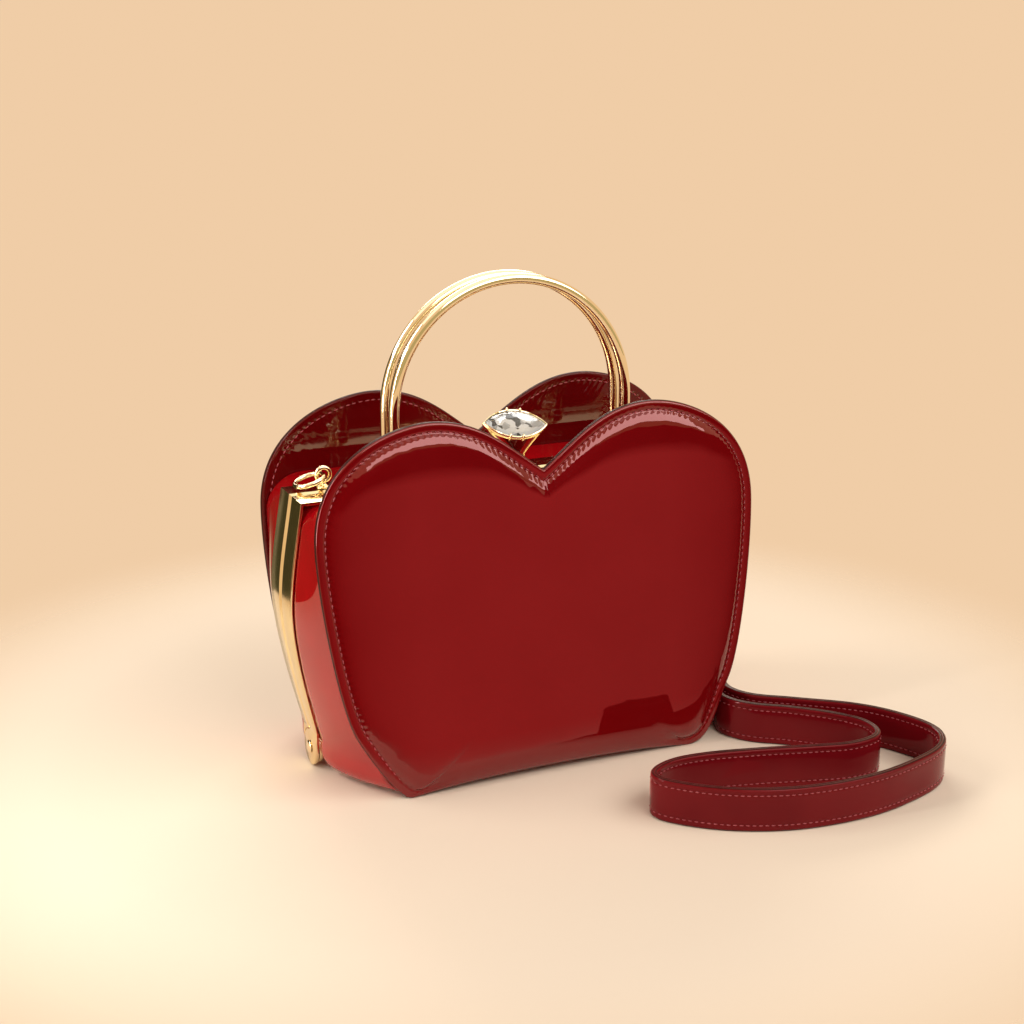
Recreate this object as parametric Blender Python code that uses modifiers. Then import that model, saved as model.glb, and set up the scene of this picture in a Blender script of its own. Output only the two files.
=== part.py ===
# Heart-shaped frame bag in patent leather, with ring handles, a crystal clasp and a loose strap.
# The bag stands on z = 0, its front panel faces -Y, and x = 0 is its plane of symmetry.
import bpy
import bmesh
from math import asin, cos, pi, radians, sin
from mathutils import Matrix, Vector
from mathutils.geometry import interpolate_bezier

MM = 0.001

# Driving dimensions of the heart panels
PANEL_HALF_WIDTH = 100 * MM
NOTCH_HEIGHT = 130 * MM
LOBE_HEIGHT = NOTCH_HEIGHT + 24.2 * MM
LOBE_TOP_X = 0.5 * PANEL_HALF_WIDTH
WIDEST_HEIGHT = NOTCH_HEIGHT - 22 * MM
KNEE_X = PANEL_HALF_WIDTH - 13 * MM
KNEE_HEIGHT = NOTCH_HEIGHT - 102 * MM
KNEE_ANGLE = radians(62)
KNEE_REACHES = (14 * MM, 9 * MM)
FOOT_X = PANEL_HALF_WIDTH - 35 * MM
FOOT_REACH = 6 * MM
FOOT_ARCH = 3 * MM
PANEL_THICKNESS = 3 * MM
PADDING = 3.4 * MM
PANEL_EDGE_ROUNDING = 0.7 * MM
PANEL_MIDDLE_HEIGHT = 0.45 * NOTCH_HEIGHT
# How far in from the edge each line of the padding lies, with its share of the full rise
PADDING_LINES = ((5 * MM, 0.0), (8 * MM, 0.55), (13 * MM, 0.82), (24 * MM, 0.95))
HALF_DEPTH_AT_NOTCH = 37 * MM
HALF_DEPTH_AT_FOOT = 50 * MM

# Driving dimensions of the gold frame, which follows the panels
FRAME_HEIGHT = NOTCH_HEIGHT - 8.8 * MM
FRAME_CORNER_X = PANEL_HALF_WIDTH - 2 * MM
FRAME_WIDEST_X = PANEL_HALF_WIDTH + 4 * MM
FRAME_WIDEST_HEIGHT = FRAME_HEIGHT - 45.2 * MM
FRAME_FOOT_X = PANEL_HALF_WIDTH - 6.8 * MM
BAND_WIDTH_TOP = 14 * MM
BAND_WIDTH_FOOT = 8.5 * MM
BAND_TAPER_HEIGHT = FRAME_HEIGHT - 36.2 * MM
SHEET = 1.4 * MM
SPLIT_GAP = 0.15 * MM
SPLIT_BEVEL = 1.9 * MM
SPLIT_BEVEL_DROP = 1.0 * MM
CHANNEL_WIDTH = 5.7 * MM
LIP_REACH = 6 * MM
LIP_END_HEIGHT = 48 * MM
CLEARANCE = 0.3 * MM
CHANNEL_SLACK = 0.5 * MM
CHANNEL_FLOOR = SPLIT_GAP + SHEET + CLEARANCE + CHANNEL_SLACK
NEAR = 0.01 * MM

# Hinge at the foot of the frame
HINGE_HEIGHT = 8.3 * MM
LEG_END = 16.6 * MM
OUTER_LUG_RADIUS = 7.9 * MM
INNER_LUG_RADIUS = 7.4 * MM
LUG_SHEET = 1.6 * MM
LUG_NECK_HEIGHT = 18.4 * MM
LUG_NECK_INSET = 0.45 * MM
LUG_PROUD = 0.3 * MM
LUG_GAP = 0.4 * MM
PIN_RADIUS = 1.5 * MM
PIN_HOLE_RADIUS = 1.8 * MM
RIVET_HEAD_RADIUS = 2.9 * MM
RIVET_HEAD_HEIGHT = 1.1 * MM

# Gusset and lining
GUSSET_THICKNESS = 2 * MM
GUSSET_INSET = SHEET + CLEARANCE
GUSSET_FOOT_INSET = 5 * MM
INSET_GROWTH = (38 * MM, 23 * MM)
FLANGE = 1.8 * MM
GUSSET_FULLNESS = 1.5
CORNER_RADII = (3 * MM, 3 * MM, 12 * MM, 14.5 * MM, 16 * MM)
LINING_RADII = (7 * MM, 7 * MM, 12 * MM, 14.5 * MM, 16 * MM)
FOOT_RADII = (7.8 * MM, 13 * MM)
GUSSET_STEPS = (0.0, 0.14, 0.38, 0.7, 1.0)
GUSSET_TOP_RISE = 2.2 * MM
GUSSET_FOOT_RISE = 7.4 * MM
GUSSET_FLOOR = 1.2 * MM
KEEL_WIDTH = 14 * MM
# Under the frame's legs the two gussets meet at a seam, and above them they lie in the channels
SEAM_HALF_GAP = 0.4 * MM
SEAM_TOP = 13.5 * MM
CHANNEL_START = LEG_END - 0.4 * MM
LINING_THICKNESS = 0.8 * MM
LINING_GAP = 0.6 * MM

# Handles
HANDLE_RADIUS = 54 * MM
HANDLE_CENTRE_HEIGHT = NOTCH_HEIGHT + 21.2 * MM
HANDLE_TUBE_RADIUS = 2.1 * MM
HANDLE_OFFSET = 5.2 * MM
COLLAR_RADIUS = 3.5 * MM
COLLAR_HEIGHT = 4 * MM
COLLAR_CHAMFER = 0.6 * MM

# Clasp
CLASP_Y = -8 * MM
CLASP_AXIS_Y = 9.5 * MM
CLASP_AXIS_LIFT = 2.9 * MM
LEVER_THICKNESS = 1.3 * MM
LEVER_HALF_WIDTH = 4.6 * MM
LEVER_FRONT_Y = -13.6 * MM
BARREL_HALF_LENGTH = 4.8 * MM
BARREL_RADIUS = 1.9 * MM
BARREL_BORE = 1.1 * MM
CLASP_PIN_RADIUS = 0.8 * MM
PIN_OVERHANG = 0.5 * MM
EAR_THICKNESS = 1.4 * MM
EAR_HALF_DEPTH = 2.1 * MM
EAR_RISE = 1.7 * MM
BRACKET_HALF_DEPTH = 2.6 * MM
BRACKET_SHEET = 0.6 * MM
STONE_HALF_LENGTH = 13.7 * MM
STONE_HALF_WIDTH = 6.2 * MM
STONE_HEIGHT = FRAME_HEIGHT + 22.4 * MM
STONE_TILT = radians(46)
STONE_CANT = radians(8)
STONE_SIDES = 20
CROWN_HEIGHT = 2.6 * MM
PAVILION_DEPTH = 4 * MM
GIRDLE = (-0.4 * MM, 0.3 * MM)
RIM_WIDTH = 0.9 * MM
RIM_TOP = 0.5 * MM
RIM_LEDGE = -0.8 * MM
RIM_SKIRT = -1.6 * MM
STEM_HALF_WIDTH = 4.4 * MM
STEM_HALF_DEPTH = 3.4 * MM
STEM_TOP = FRAME_HEIGHT + 9.8 * MM
STEM_BASE_SCALE = 1.35
STEM_BASE_HEIGHTS = (0.8 * MM, 1.4 * MM)
CATCH_RADIUS = 3.6 * MM
CATCH_CHAMFER = 0.5 * MM

# Strap rings on the top bar
RING_X = FRAME_CORNER_X - 16 * MM
RING_Y = 5.5 * MM
RING_WIRE = 0.95 * MM
RING_RADIUS = 6.3 * MM
RING_SLOPE = radians(17)
EYE_LIFT = 5.8 * MM
EYE_RADIUS = 2.9 * MM
EYE_WIRE = 1.0 * MM
EYE_BASE_RADIUS = 3.2 * MM
EYE_STEM_RADIUS = 1.3 * MM
EYE_BASE_HEIGHTS = (0.8 * MM, 1.5 * MM)

# Strap, in two plies that stand on edge on the floor
STRAP_WIDTH = 18 * MM
STRAP_THICKNESS = 3 * MM
STRAP_EDGE_ROUNDING = 0.8 * MM
STRAP_POINTS = 74

# Loop and snap hook at each end of the strap
HOOK_GAP = 0.4 * MM
LOOP_WIRE = 1.1 * MM
LOOP_HALF_DEPTH = 4 * MM
LOOP_HALF_HEIGHT = STRAP_WIDTH / 2 - 1.2 * MM
LOOP_ROUNDNESS = 0.6
SWIVEL_RADIUS = 3 * MM
HOOK_NECK_RADIUS = 1.9 * MM
SWIVEL_HEIGHTS = (1.6 * MM, 2.2 * MM, 6 * MM)
CLAW_CENTRE = 12.5 * MM
CLAW_HALF_SIZES = (7.5 * MM, 6.2 * MM)
CLAW_ANGLES = (-0.86 * pi, 0.62 * pi)
CLAW_ROOT = (4.6 * MM, -0.6 * MM)
CLAW_WIRE = 1.35 * MM
GATE_LINE = ((7.4 * MM, 2.2 * MM), (8.8 * MM, 5.2 * MM))
GATE_WIRE = 0.9 * MM

CENTRE = Vector((0, 0, 0.55 * FRAME_HEIGHT))


def clear_scene():
    for obj in list(bpy.data.objects):
        bpy.data.objects.remove(obj, do_unlink=True)


def new_collection(name):
    collection = bpy.data.collections.new(name)
    bpy.context.scene.collection.children.link(collection)
    return collection


clear_scene()
PARTS = new_collection("heart_frame_bag")
CUTTERS = new_collection("cutters")


def finish(name, colour, roughness, metallic=0.0, coat=0.0):
    material = bpy.data.materials.new(name)
    material.use_nodes = True
    shader = material.node_tree.nodes["Principled BSDF"]
    shader.inputs["Base Color"].default_value = (*colour, 1.0)
    shader.inputs["Roughness"].default_value = roughness
    shader.inputs["Metallic"].default_value = metallic
    shader.inputs["Coat Weight"].default_value = coat
    material.diffuse_color = (*colour, 1.0)
    return material


PATENT = {"colour": (0.26, 0.006, 0.010), "roughness": 0.08, "coat": 1.0}
PATENT_BRIGHT = {"colour": (0.40, 0.002, 0.006), "roughness": 0.08, "coat": 1.0}
GOLD = {"colour": (0.86, 0.66, 0.34), "roughness": 0.12, "metallic": 1.0}
SUEDE = {"colour": (0.20, 0.010, 0.015), "roughness": 0.9}
CRYSTAL = {"colour": (0.95, 0.96, 0.98), "roughness": 0.02}
STEEL = {"colour": (0.70, 0.66, 0.58), "roughness": 0.25, "metallic": 1.0}


def add_object(name, mesh, look, collection=None):
    obj = bpy.data.objects.new(name, mesh)
    (collection or PARTS).objects.link(obj)
    if look:
        mesh.materials.append(finish(name, **look))
    return obj


def hang(obj, parent, place):
    """Parents the object and puts its origin at a place of the world. No parent here is turned."""
    obj.parent = parent
    obj.location = Vector(place)
    while parent:
        obj.location -= parent.location
        parent = parent.parent


def seat(obj, parent, origin):
    """Moves the object's origin to a point of the world, with its shape left where it is."""
    obj.data.transform(Matrix.Translation(-Vector(origin)))
    hang(obj, parent, origin)


def add_empty(name, place, parent=None):
    empty = bpy.data.objects.new(name, None)
    empty.empty_display_size = 0.02
    PARTS.objects.link(empty)
    hang(empty, parent, place)
    return empty


def skin(rows, wrap=True, caps=False, away_from=None):
    """Wraps a grid on rows of points. Its normals point out, or away from the given point."""
    rows = [list(row) for row in rows]
    if caps:
        for place, row in ((0, rows[0]), (len(rows) + 1, rows[-1])):
            middle = sum(row, Vector()) / len(row)
            rows.insert(place, [middle] * len(row))
    columns = len(rows[0])
    across = columns if wrap else columns - 1
    along = len(rows) - 1
    bm = bmesh.new()
    bmesh.ops.create_grid(bm, x_segments=across, y_segments=along, size=1.0)
    for vert in bm.verts:
        column = round((vert.co.x + 1) / 2 * across) % columns
        row = round((vert.co.y + 1) / 2 * along)
        vert.co = rows[row][column]
    bmesh.ops.remove_doubles(bm, verts=bm.verts, dist=0.000001)
    bmesh.ops.recalc_face_normals(bm, faces=bm.faces)
    if away_from:
        leaning = sum(face.normal.dot(face.calc_center_median() - away_from) for face in bm.faces)
        if leaning < 0:
            bmesh.ops.reverse_faces(bm, faces=bm.faces)
    mesh = bpy.data.meshes.new("skin")
    bm.to_mesh(mesh)
    bm.free()
    mesh.shade_smooth()
    mesh.set_sharp_from_angle(angle=radians(35))
    return mesh


def solidify(obj, thickness):
    modifier = obj.modifiers.new("sheet", "SOLIDIFY")
    modifier.thickness = thickness
    modifier.offset = -1
    modifier.solidify_mode = "NON_MANIFOLD"
    modifier.nonmanifold_thickness_mode = "CONSTRAINTS"
    modifier.nonmanifold_merge_threshold = 0.00001


def evaluated_mesh(obj):
    """Returns the evaluated shape of an object as a plain mesh."""
    depsgraph = bpy.context.evaluated_depsgraph_get()
    mesh = bpy.data.meshes.new_from_object(obj.evaluated_get(depsgraph))
    bm = bmesh.new()
    bm.from_mesh(mesh)
    bmesh.ops.remove_doubles(bm, verts=bm.verts, dist=0.000001)
    bmesh.ops.recalc_face_normals(bm, faces=bm.faces)
    bm.to_mesh(mesh)
    bm.free()
    return mesh


def tool(mesh, name="tool"):
    obj = add_object(name, mesh, None, CUTTERS)
    obj.hide_render = True
    obj.display_type = "WIRE"
    return obj


def combine(obj, mesh, operation):
    modifier = obj.modifiers.new(operation.lower(), "BOOLEAN")
    modifier.operation = operation
    modifier.object = tool(mesh, f"{obj.name}_{operation.lower()}")
    modifier.solver = "EXACT"


def shape(build, matrix=None, **settings):
    """Makes a mesh from one bmesh.ops.create_ operator, moved by a matrix."""
    bm = bmesh.new()
    build(bm, **settings, matrix=matrix or Matrix())
    mesh = bpy.data.meshes.new("shape")
    bm.to_mesh(mesh)
    bm.free()
    return mesh


def box(low, high):
    low, high = Vector(low), Vector(high)
    size = Matrix.Diagonal((*(high - low), 1.0))
    return shape(bmesh.ops.create_cube, Matrix.Translation((low + high) / 2) @ size, size=1.0)


def turned(profile, axis="Z", place=(0, 0, 0), sides=20):
    """Turns a profile of (radius, height) points, from the axis back to the axis or as a closed ring."""
    turns = {"Z": Matrix(), "X": Matrix.Rotation(pi / 2, 4, "Y"), "Y": Matrix.Rotation(-pi / 2, 4, "X")}
    move = Matrix.Translation(place) @ turns[axis]
    closed = profile[0][0] > 0
    points = list(profile) + [profile[0]] if closed else profile
    rows = []
    for radius, height in points:
        ring = [Vector((radius * cos(2 * pi * k / sides), radius * sin(2 * pi * k / sides), height))
                for k in range(sides)]
        rows.append([move @ point for point in ring])
    return skin(rows)


def tube_mesh(points, radius, resolution=2):
    """A round tube along a line of points, as a curve with filled caps."""
    curve = bpy.data.curves.new("tube", "CURVE")
    curve.dimensions = "3D"
    curve.bevel_depth = radius
    curve.bevel_resolution = resolution
    curve.render_resolution_u = 0
    curve.use_fill_caps = True
    spline = curve.splines.new("POLY")
    spline.points.add(len(points) - 1)
    for spot, point in zip(spline.points, points):
        spot.co = (*point, 1.0)
    holder = bpy.data.objects.new("tube", curve)
    CUTTERS.objects.link(holder)
    mesh = evaluated_mesh(holder)
    bpy.data.objects.remove(holder)
    mesh.shade_smooth()
    mesh.set_sharp_from_angle(angle=radians(50))
    return mesh


def bezier(p0, h0, h1, p1, count):
    ends = [Vector((x, 0, z)) for x, z in (p0, h0, h1, p1)]
    points = interpolate_bezier(*ends, count + 1)
    return [(point.x, point.z) for point in points]


def mix(a, b, share):
    return a + (b - a) * share


def clamp(value):
    return max(0.0, min(1.0, value))


def height_to_x(points, height):
    """Reads a side curve, whose points run downwards, at one height."""
    for (x0, z0), (x1, z1) in zip(points, points[1:]):
        if z0 >= height >= z1:
            return mix(x0, x1, (z0 - height) / (z0 - z1))
    return points[0][0] if height > points[0][1] else points[-1][0]


def inset(points, distance, closed=True):
    """Moves a clockwise line of (x, z) points inwards, with mitred corners."""
    moved = []
    for index, (x, z) in enumerate(points):
        before = points[index - 1] if closed or index else points[index]
        after = points[(index + 1) % len(points)] if closed or index < len(points) - 1 else points[index]
        arms = [Vector((x - before[0], z - before[1])), Vector((after[0] - x, after[1] - z))]
        arms = [arm.normalized() for arm in arms if arm.length > 0]
        normals = [Vector((arm.y, -arm.x)) for arm in arms]
        mean = sum(normals, Vector((0, 0))).normalized()
        reach = distance / mean.dot(normals[0])
        moved.append((x + mean.x * reach, z + mean.y * reach))
    return moved


def mirrored(half):
    """Closes a half outline, whose first and last points lie on x = 0."""
    return half + [(-x, z) for x, z in reversed(half[1:-1])]


def half_depth(height):
    share = (NOTCH_HEIGHT - height) / NOTCH_HEIGHT
    return mix(HALF_DEPTH_AT_NOTCH, HALF_DEPTH_AT_FOOT, share)


# The heart, from its notch over the lobe and down to the foot
def heart_half():
    notch = (0, NOTCH_HEIGHT)
    lobe_top = (LOBE_TOP_X, LOBE_HEIGHT)
    widest = (PANEL_HALF_WIDTH, WIDEST_HEIGHT)
    corner = (FOOT_X, 0)
    arch_top = (0, FOOT_ARCH)
    notch_handle = (0.29 * LOBE_TOP_X, mix(NOTCH_HEIGHT, LOBE_HEIGHT, 0.43))
    lobe_handles = ((0.56 * LOBE_TOP_X, LOBE_HEIGHT), (mix(LOBE_TOP_X, PANEL_HALF_WIDTH, 0.32), LOBE_HEIGHT))
    widest_handles = ((PANEL_HALF_WIDTH, mix(WIDEST_HEIGHT, LOBE_HEIGHT, 0.78)),
                      (PANEL_HALF_WIDTH, 0.8 * WIDEST_HEIGHT))
    knee = (KNEE_X, KNEE_HEIGHT)
    knee_handles = ((KNEE_X + KNEE_REACHES[0] * cos(KNEE_ANGLE), KNEE_HEIGHT + KNEE_REACHES[0] * sin(KNEE_ANGLE)),
                    (KNEE_X - KNEE_REACHES[1] * cos(KNEE_ANGLE), KNEE_HEIGHT - KNEE_REACHES[1] * sin(KNEE_ANGLE)))
    corner_handle = (FOOT_X + FOOT_REACH, 0)
    arch_handles = ((0.66 * FOOT_X, 0.8 * FOOT_ARCH), (0.33 * FOOT_X, FOOT_ARCH))
    lobe = bezier(notch, notch_handle, lobe_handles[0], lobe_top, 6)
    shoulder = bezier(lobe_top, lobe_handles[1], widest_handles[0], widest, 9)
    side = bezier(widest, widest_handles[1], knee_handles[0], knee, 7)
    side = side[:-1] + bezier(knee, knee_handles[1], corner_handle, corner, 4)
    foot = bezier(corner, *arch_handles, arch_top, 5)
    return lobe[:-1] + shoulder[:-1] + side[:-1] + foot, shoulder[:-1] + side


HEART_HALF, HEART_SIDE = heart_half()


# The frame's outer line, from the middle of the top bar down to the end of a leg
def frame_half():
    bar = [(FRAME_CORNER_X * share, FRAME_HEIGHT) for share in (0, 0.25, 0.5, 0.75)]
    corner = (FRAME_CORNER_X, FRAME_HEIGHT)
    widest = (FRAME_WIDEST_X, FRAME_WIDEST_HEIGHT)
    leg_end = (FRAME_FOOT_X, LEG_END)
    corner_handle = (mix(FRAME_CORNER_X, FRAME_WIDEST_X, 0.39), mix(FRAME_HEIGHT, FRAME_WIDEST_HEIGHT, 0.34))
    widest_handles = ((FRAME_WIDEST_X, mix(FRAME_WIDEST_HEIGHT, FRAME_HEIGHT, 0.31)),
                      (FRAME_WIDEST_X, 0.76 * FRAME_WIDEST_HEIGHT))
    leg_handle = (mix(FRAME_FOOT_X, FRAME_WIDEST_X, 0.36), mix(LEG_END, FRAME_WIDEST_HEIGHT, 0.26))
    upper = bezier(corner, corner_handle, widest_handles[0], widest, 6)
    lower = bezier(widest, widest_handles[1], leg_handle, leg_end, 9)
    return bar + upper[:-1] + lower, upper[:-1] + lower


FRAME_HALF, FRAME_SIDE = frame_half()


def band_width(height):
    share = clamp((BAND_TAPER_HEIGHT - height) / (BAND_TAPER_HEIGHT - LEG_END))
    return mix(BAND_WIDTH_TOP, BAND_WIDTH_FOOT, share)


def make_panel(name, side, parent):
    """A heart-shaped board: flat behind, padded in front inside a flat sewn margin."""
    outline = mirrored(HEART_HALF)
    middle = (0.0, PANEL_MIDDLE_HEIGHT)
    least_lean = 0.62
    towards = []
    for (x, z), (inner_x, inner_z) in zip(outline, inset(outline, MM)):
        aim = Vector((middle[0] - x, middle[1] - z)).normalized()
        normal = Vector((inner_x - x, inner_z - z)).normalized()
        towards.append((aim, max(least_lean, aim.dot(normal))))
    padded = [(0.0, -PANEL_THICKNESS), (0.0, -PANEL_EDGE_ROUNDING), (PANEL_EDGE_ROUNDING, 0.0)]
    padded += [(distance, rise * PADDING) for distance, rise in PADDING_LINES]
    rows = []
    for share in (0.0, 0.55):
        rows.append([(mix(middle[0], x, share), mix(middle[1], z, share), -PANEL_THICKNESS)
                     for x, z in outline])
    for distance, lift in padded:
        rows.append([(x + aim.x * distance / lean, z + aim.y * distance / lean, lift)
                     for (x, z), (aim, lean) in zip(outline, towards)])
    for share in (0.4, 0.0):
        rows.append([(mix(middle[0], x, share), mix(middle[1], z, share), PADDING) for x, z in outline])
    points = [[Vector((x, side * (half_depth(z) + lift), z)) for x, z, lift in row] for row in rows]
    obj = add_object(name, skin(points), PATENT)
    seat(obj, parent, (0, side * HALF_DEPTH_AT_FOOT, 0))


def wall_line(step, radius):
    """The gusset's outer line at one step from the frame to the panel, clockwise from the top."""
    past_band = clamp((step - GUSSET_STEPS[2]) / (1 - GUSSET_STEPS[2]))
    top = FRAME_HEIGHT - GUSSET_INSET + GUSSET_TOP_RISE * past_band

    def side_x(height):
        foot_share = clamp((INSET_GROWTH[0] - height) / (INSET_GROWTH[0] - INSET_GROWTH[1]))
        near = height_to_x(FRAME_SIDE, height) - mix(GUSSET_INSET, GUSSET_FOOT_INSET, foot_share)
        far = height_to_x(HEART_SIDE, height) - FLANGE
        return mix(near, far, past_band ** GUSSET_FULLNESS)

    depth = step * (HALF_DEPTH_AT_FOOT - PANEL_THICKNESS)
    floor = GUSSET_FLOOR + GUSSET_FOOT_RISE * clamp(1 - depth / KEEL_WIDTH)
    shoulder_z = top - radius
    shoulder_x = side_x(shoulder_z) - radius
    foot_radius = mix(*FOOT_RADII, step)
    heel_z = floor + foot_radius
    heel_x = side_x(heel_z) - foot_radius
    half = [(shoulder_x * share, top) for share in (0, 0.35, 0.7)]
    for k in range(5):
        angle = pi / 2 * (1 - k / 4)
        half.append((shoulder_x + radius * cos(angle), shoulder_z + radius * sin(angle)))
    for k in range(1, 10):
        height = mix(shoulder_z, heel_z, k / 10)
        half.append((side_x(height), height))
    for k in range(5):
        angle = -pi / 2 * k / 4
        half.append((heel_x + foot_radius * cos(angle), heel_z + foot_radius * sin(angle)))
    half += [(heel_x * share, floor + FOOT_ARCH * step * (1 - share ** 2)) for share in (0.66, 0.33, 0)]
    return mirrored(half)


def wall_rows(side, radii, draw_in, end_gap):
    """Rows of the gusset's wall, each drawn in by a distance, from the frame to the panel."""
    rows = []
    for step, radius, inner in zip(GUSSET_STEPS, radii, draw_in):
        line = inset(wall_line(step, radius), inner)
        points = []
        for x, z in line:
            in_channel = clamp((z - SEAM_TOP) / (CHANNEL_START - SEAM_TOP))
            start = mix(SEAM_HALF_GAP, CHANNEL_FLOOR, in_channel)
            end = half_depth(z) - PANEL_THICKNESS - end_gap
            points.append(Vector((x, side * mix(start, end, step), z)))
        rows.append(points)
    return rows


def make_gusset(name, side, parent):
    mesh = skin(wall_rows(side, CORNER_RADII, (0.0,) * len(CORNER_RADII), CLEARANCE), away_from=CENTRE)
    obj = add_object(name, mesh, PATENT_BRIGHT)
    solidify(obj, GUSSET_THICKNESS)
    seat(obj, parent, (0, 0, HINGE_HEIGHT))


def make_lining(name, side, parent):
    """A tray-shaped skin inside the half shell."""
    past_lip = CHANNEL_WIDTH - GUSSET_INSET + CLEARANCE
    past_wall = GUSSET_THICKNESS + LINING_GAP
    rows = wall_rows(side, LINING_RADII, (past_lip, past_lip, past_wall, past_wall, past_wall), LINING_GAP)
    middle_z = 0.5 * FRAME_HEIGHT
    middle_y = side * (half_depth(middle_z) - PANEL_THICKNESS - LINING_GAP)
    rows.append([Vector((0, middle_y, middle_z))] * len(rows[0]))
    obj = add_object(name, skin(rows, away_from=CENTRE), SUEDE)
    solidify(obj, LINING_THICKNESS)
    seat(obj, parent, (0, 0, HINGE_HEIGHT))


def lug_outline(side, radius, neck_start):
    """A round end with a neck that runs up into the leg, as (y, z) points about the hinge."""
    start = pi / 2 - asin(neck_start / radius)
    points = []
    for k in range(25):
        angle = mix(start, 2 * pi, k / 24)
        points.append((-radius * cos(angle), HINGE_HEIGHT + radius * sin(angle)))
    points.append((-radius, LUG_NECK_HEIGHT))
    points.append((-neck_start, LUG_NECK_HEIGHT))
    return points if side < 0 else [(-y, z) for y, z in points]


def plate_mesh(outline, low_x, high_x, hole):
    """A flat plate in the YZ plane with one round hole on the hinge's axis."""
    curve = bpy.data.curves.new("plate", "CURVE")
    curve.dimensions = "2D"
    curve.fill_mode = "BOTH"
    curve.extrude = (high_x - low_x) / 2
    curve.render_resolution_u = 0
    circle = [(hole * cos(2 * pi * k / 16), HINGE_HEIGHT + hole * sin(2 * pi * k / 16)) for k in range(16)]
    for line in (outline, circle):
        spline = curve.splines.new("POLY")
        spline.points.add(len(line) - 1)
        for spot, (y, z) in zip(spline.points, line):
            spot.co = (y, z, 0, 1.0)
        spline.use_cyclic_u = True
    holder = bpy.data.objects.new("plate", curve)
    CUTTERS.objects.link(holder)
    mesh = evaluated_mesh(holder)
    bpy.data.objects.remove(holder)
    turn = Matrix(((0, 0, 1, (low_x + high_x) / 2), (1, 0, 0, 0), (0, 1, 0, 0), (0, 0, 0, 1)))
    mesh.transform(turn)
    return mesh


def make_frame(name, side, parent):
    """A channel of bent sheet with mitred top corners, and a hinge lug at the foot of each leg."""
    path = [(-x, z) for x, z in reversed(FRAME_HALF[1:])] + FRAME_HALF
    profile = ((0.0, None), (0.0, SPLIT_BEVEL), (SPLIT_BEVEL_DROP, SPLIT_GAP),
               (CHANNEL_WIDTH, SPLIT_GAP), (CHANNEL_WIDTH, LIP_REACH))
    rows = []
    for offset, reach in profile:
        line = inset(path, offset, closed=False)
        rows.append([Vector((x, side * (reach or band_width(z)), z)) for x, z in line])
    mesh = skin(rows, wrap=False)
    bm = bmesh.new()
    bm.from_mesh(mesh)
    bm.faces.ensure_lookup_table()
    outer = [face for face in bm.faces if min(abs(vert.co.y) for vert in face.verts) > SPLIT_BEVEL - NEAR
             and min(vert.co.z for vert in face.verts) > FRAME_HEIGHT - NEAR]
    if outer[0].normal.z < 0:
        bmesh.ops.reverse_faces(bm, faces=bm.faces)
    lip = [face for face in bm.faces if min(abs(vert.co.y) for vert in face.verts) < SPLIT_GAP + NEAR
           and max(abs(vert.co.y) for vert in face.verts) > LIP_REACH - NEAR]
    short = [face for face in lip if min(vert.co.z for vert in face.verts) < LIP_END_HEIGHT
             and abs(face.normal.y) < 0.5]
    bmesh.ops.delete(bm, geom=short, context="FACES")
    bm.to_mesh(mesh)
    bm.free()
    obj = add_object(name, mesh, GOLD)
    solidify(obj, SHEET)
    face_x = FRAME_FOOT_X + LUG_PROUD
    radius = OUTER_LUG_RADIUS
    if side > 0:
        face_x -= LUG_SHEET + LUG_GAP
        radius = INNER_LUG_RADIUS
    span = (face_x - LUG_SHEET, face_x)
    outline = lug_outline(side, radius, LUG_NECK_INSET)
    combine(obj, plate_mesh(outline, *span, PIN_HOLE_RADIUS), "UNION")
    combine(obj, plate_mesh(outline, -span[1], -span[0], PIN_HOLE_RADIUS), "UNION")
    seat(obj, parent, (0, 0, HINGE_HEIGHT))


def make_handle(prefix, side, parent):
    """A tube bent to an arch, whose two feet stand in collars on the top bar."""
    foot = FRAME_HEIGHT + CLEARANCE
    y = side * HANDLE_OFFSET
    leg = [Vector((-HANDLE_RADIUS, y, mix(foot, HANDLE_CENTRE_HEIGHT, share))) for share in (0, 0.5)]
    arc = []
    for k in range(33):
        angle = pi * (1 - k / 32)
        arc.append(Vector((HANDLE_RADIUS * cos(angle), y, HANDLE_CENTRE_HEIGHT + HANDLE_RADIUS * sin(angle))))
    far_leg = [Vector((-point.x, y, point.z)) for point in reversed(leg)]
    handle = add_object(f"{prefix}_handle", tube_mesh(leg + arc + far_leg, HANDLE_TUBE_RADIUS, 3), GOLD)
    seat(handle, parent, (0, y, foot))
    bore = HANDLE_TUBE_RADIUS + CLEARANCE
    profile = ((bore, 0), (COLLAR_RADIUS, 0), (COLLAR_RADIUS, 0.75 * COLLAR_HEIGHT),
               (COLLAR_RADIUS - COLLAR_CHAMFER, COLLAR_HEIGHT), (bore, COLLAR_HEIGHT))
    for x, where in ((-HANDLE_RADIUS, "left"), (HANDLE_RADIUS, "right")):
        collar = add_object(f"{prefix}_collar_{where}", turned(profile, place=(x, y, foot), sides=16), GOLD)
        seat(collar, parent, (x, y, foot))


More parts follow.
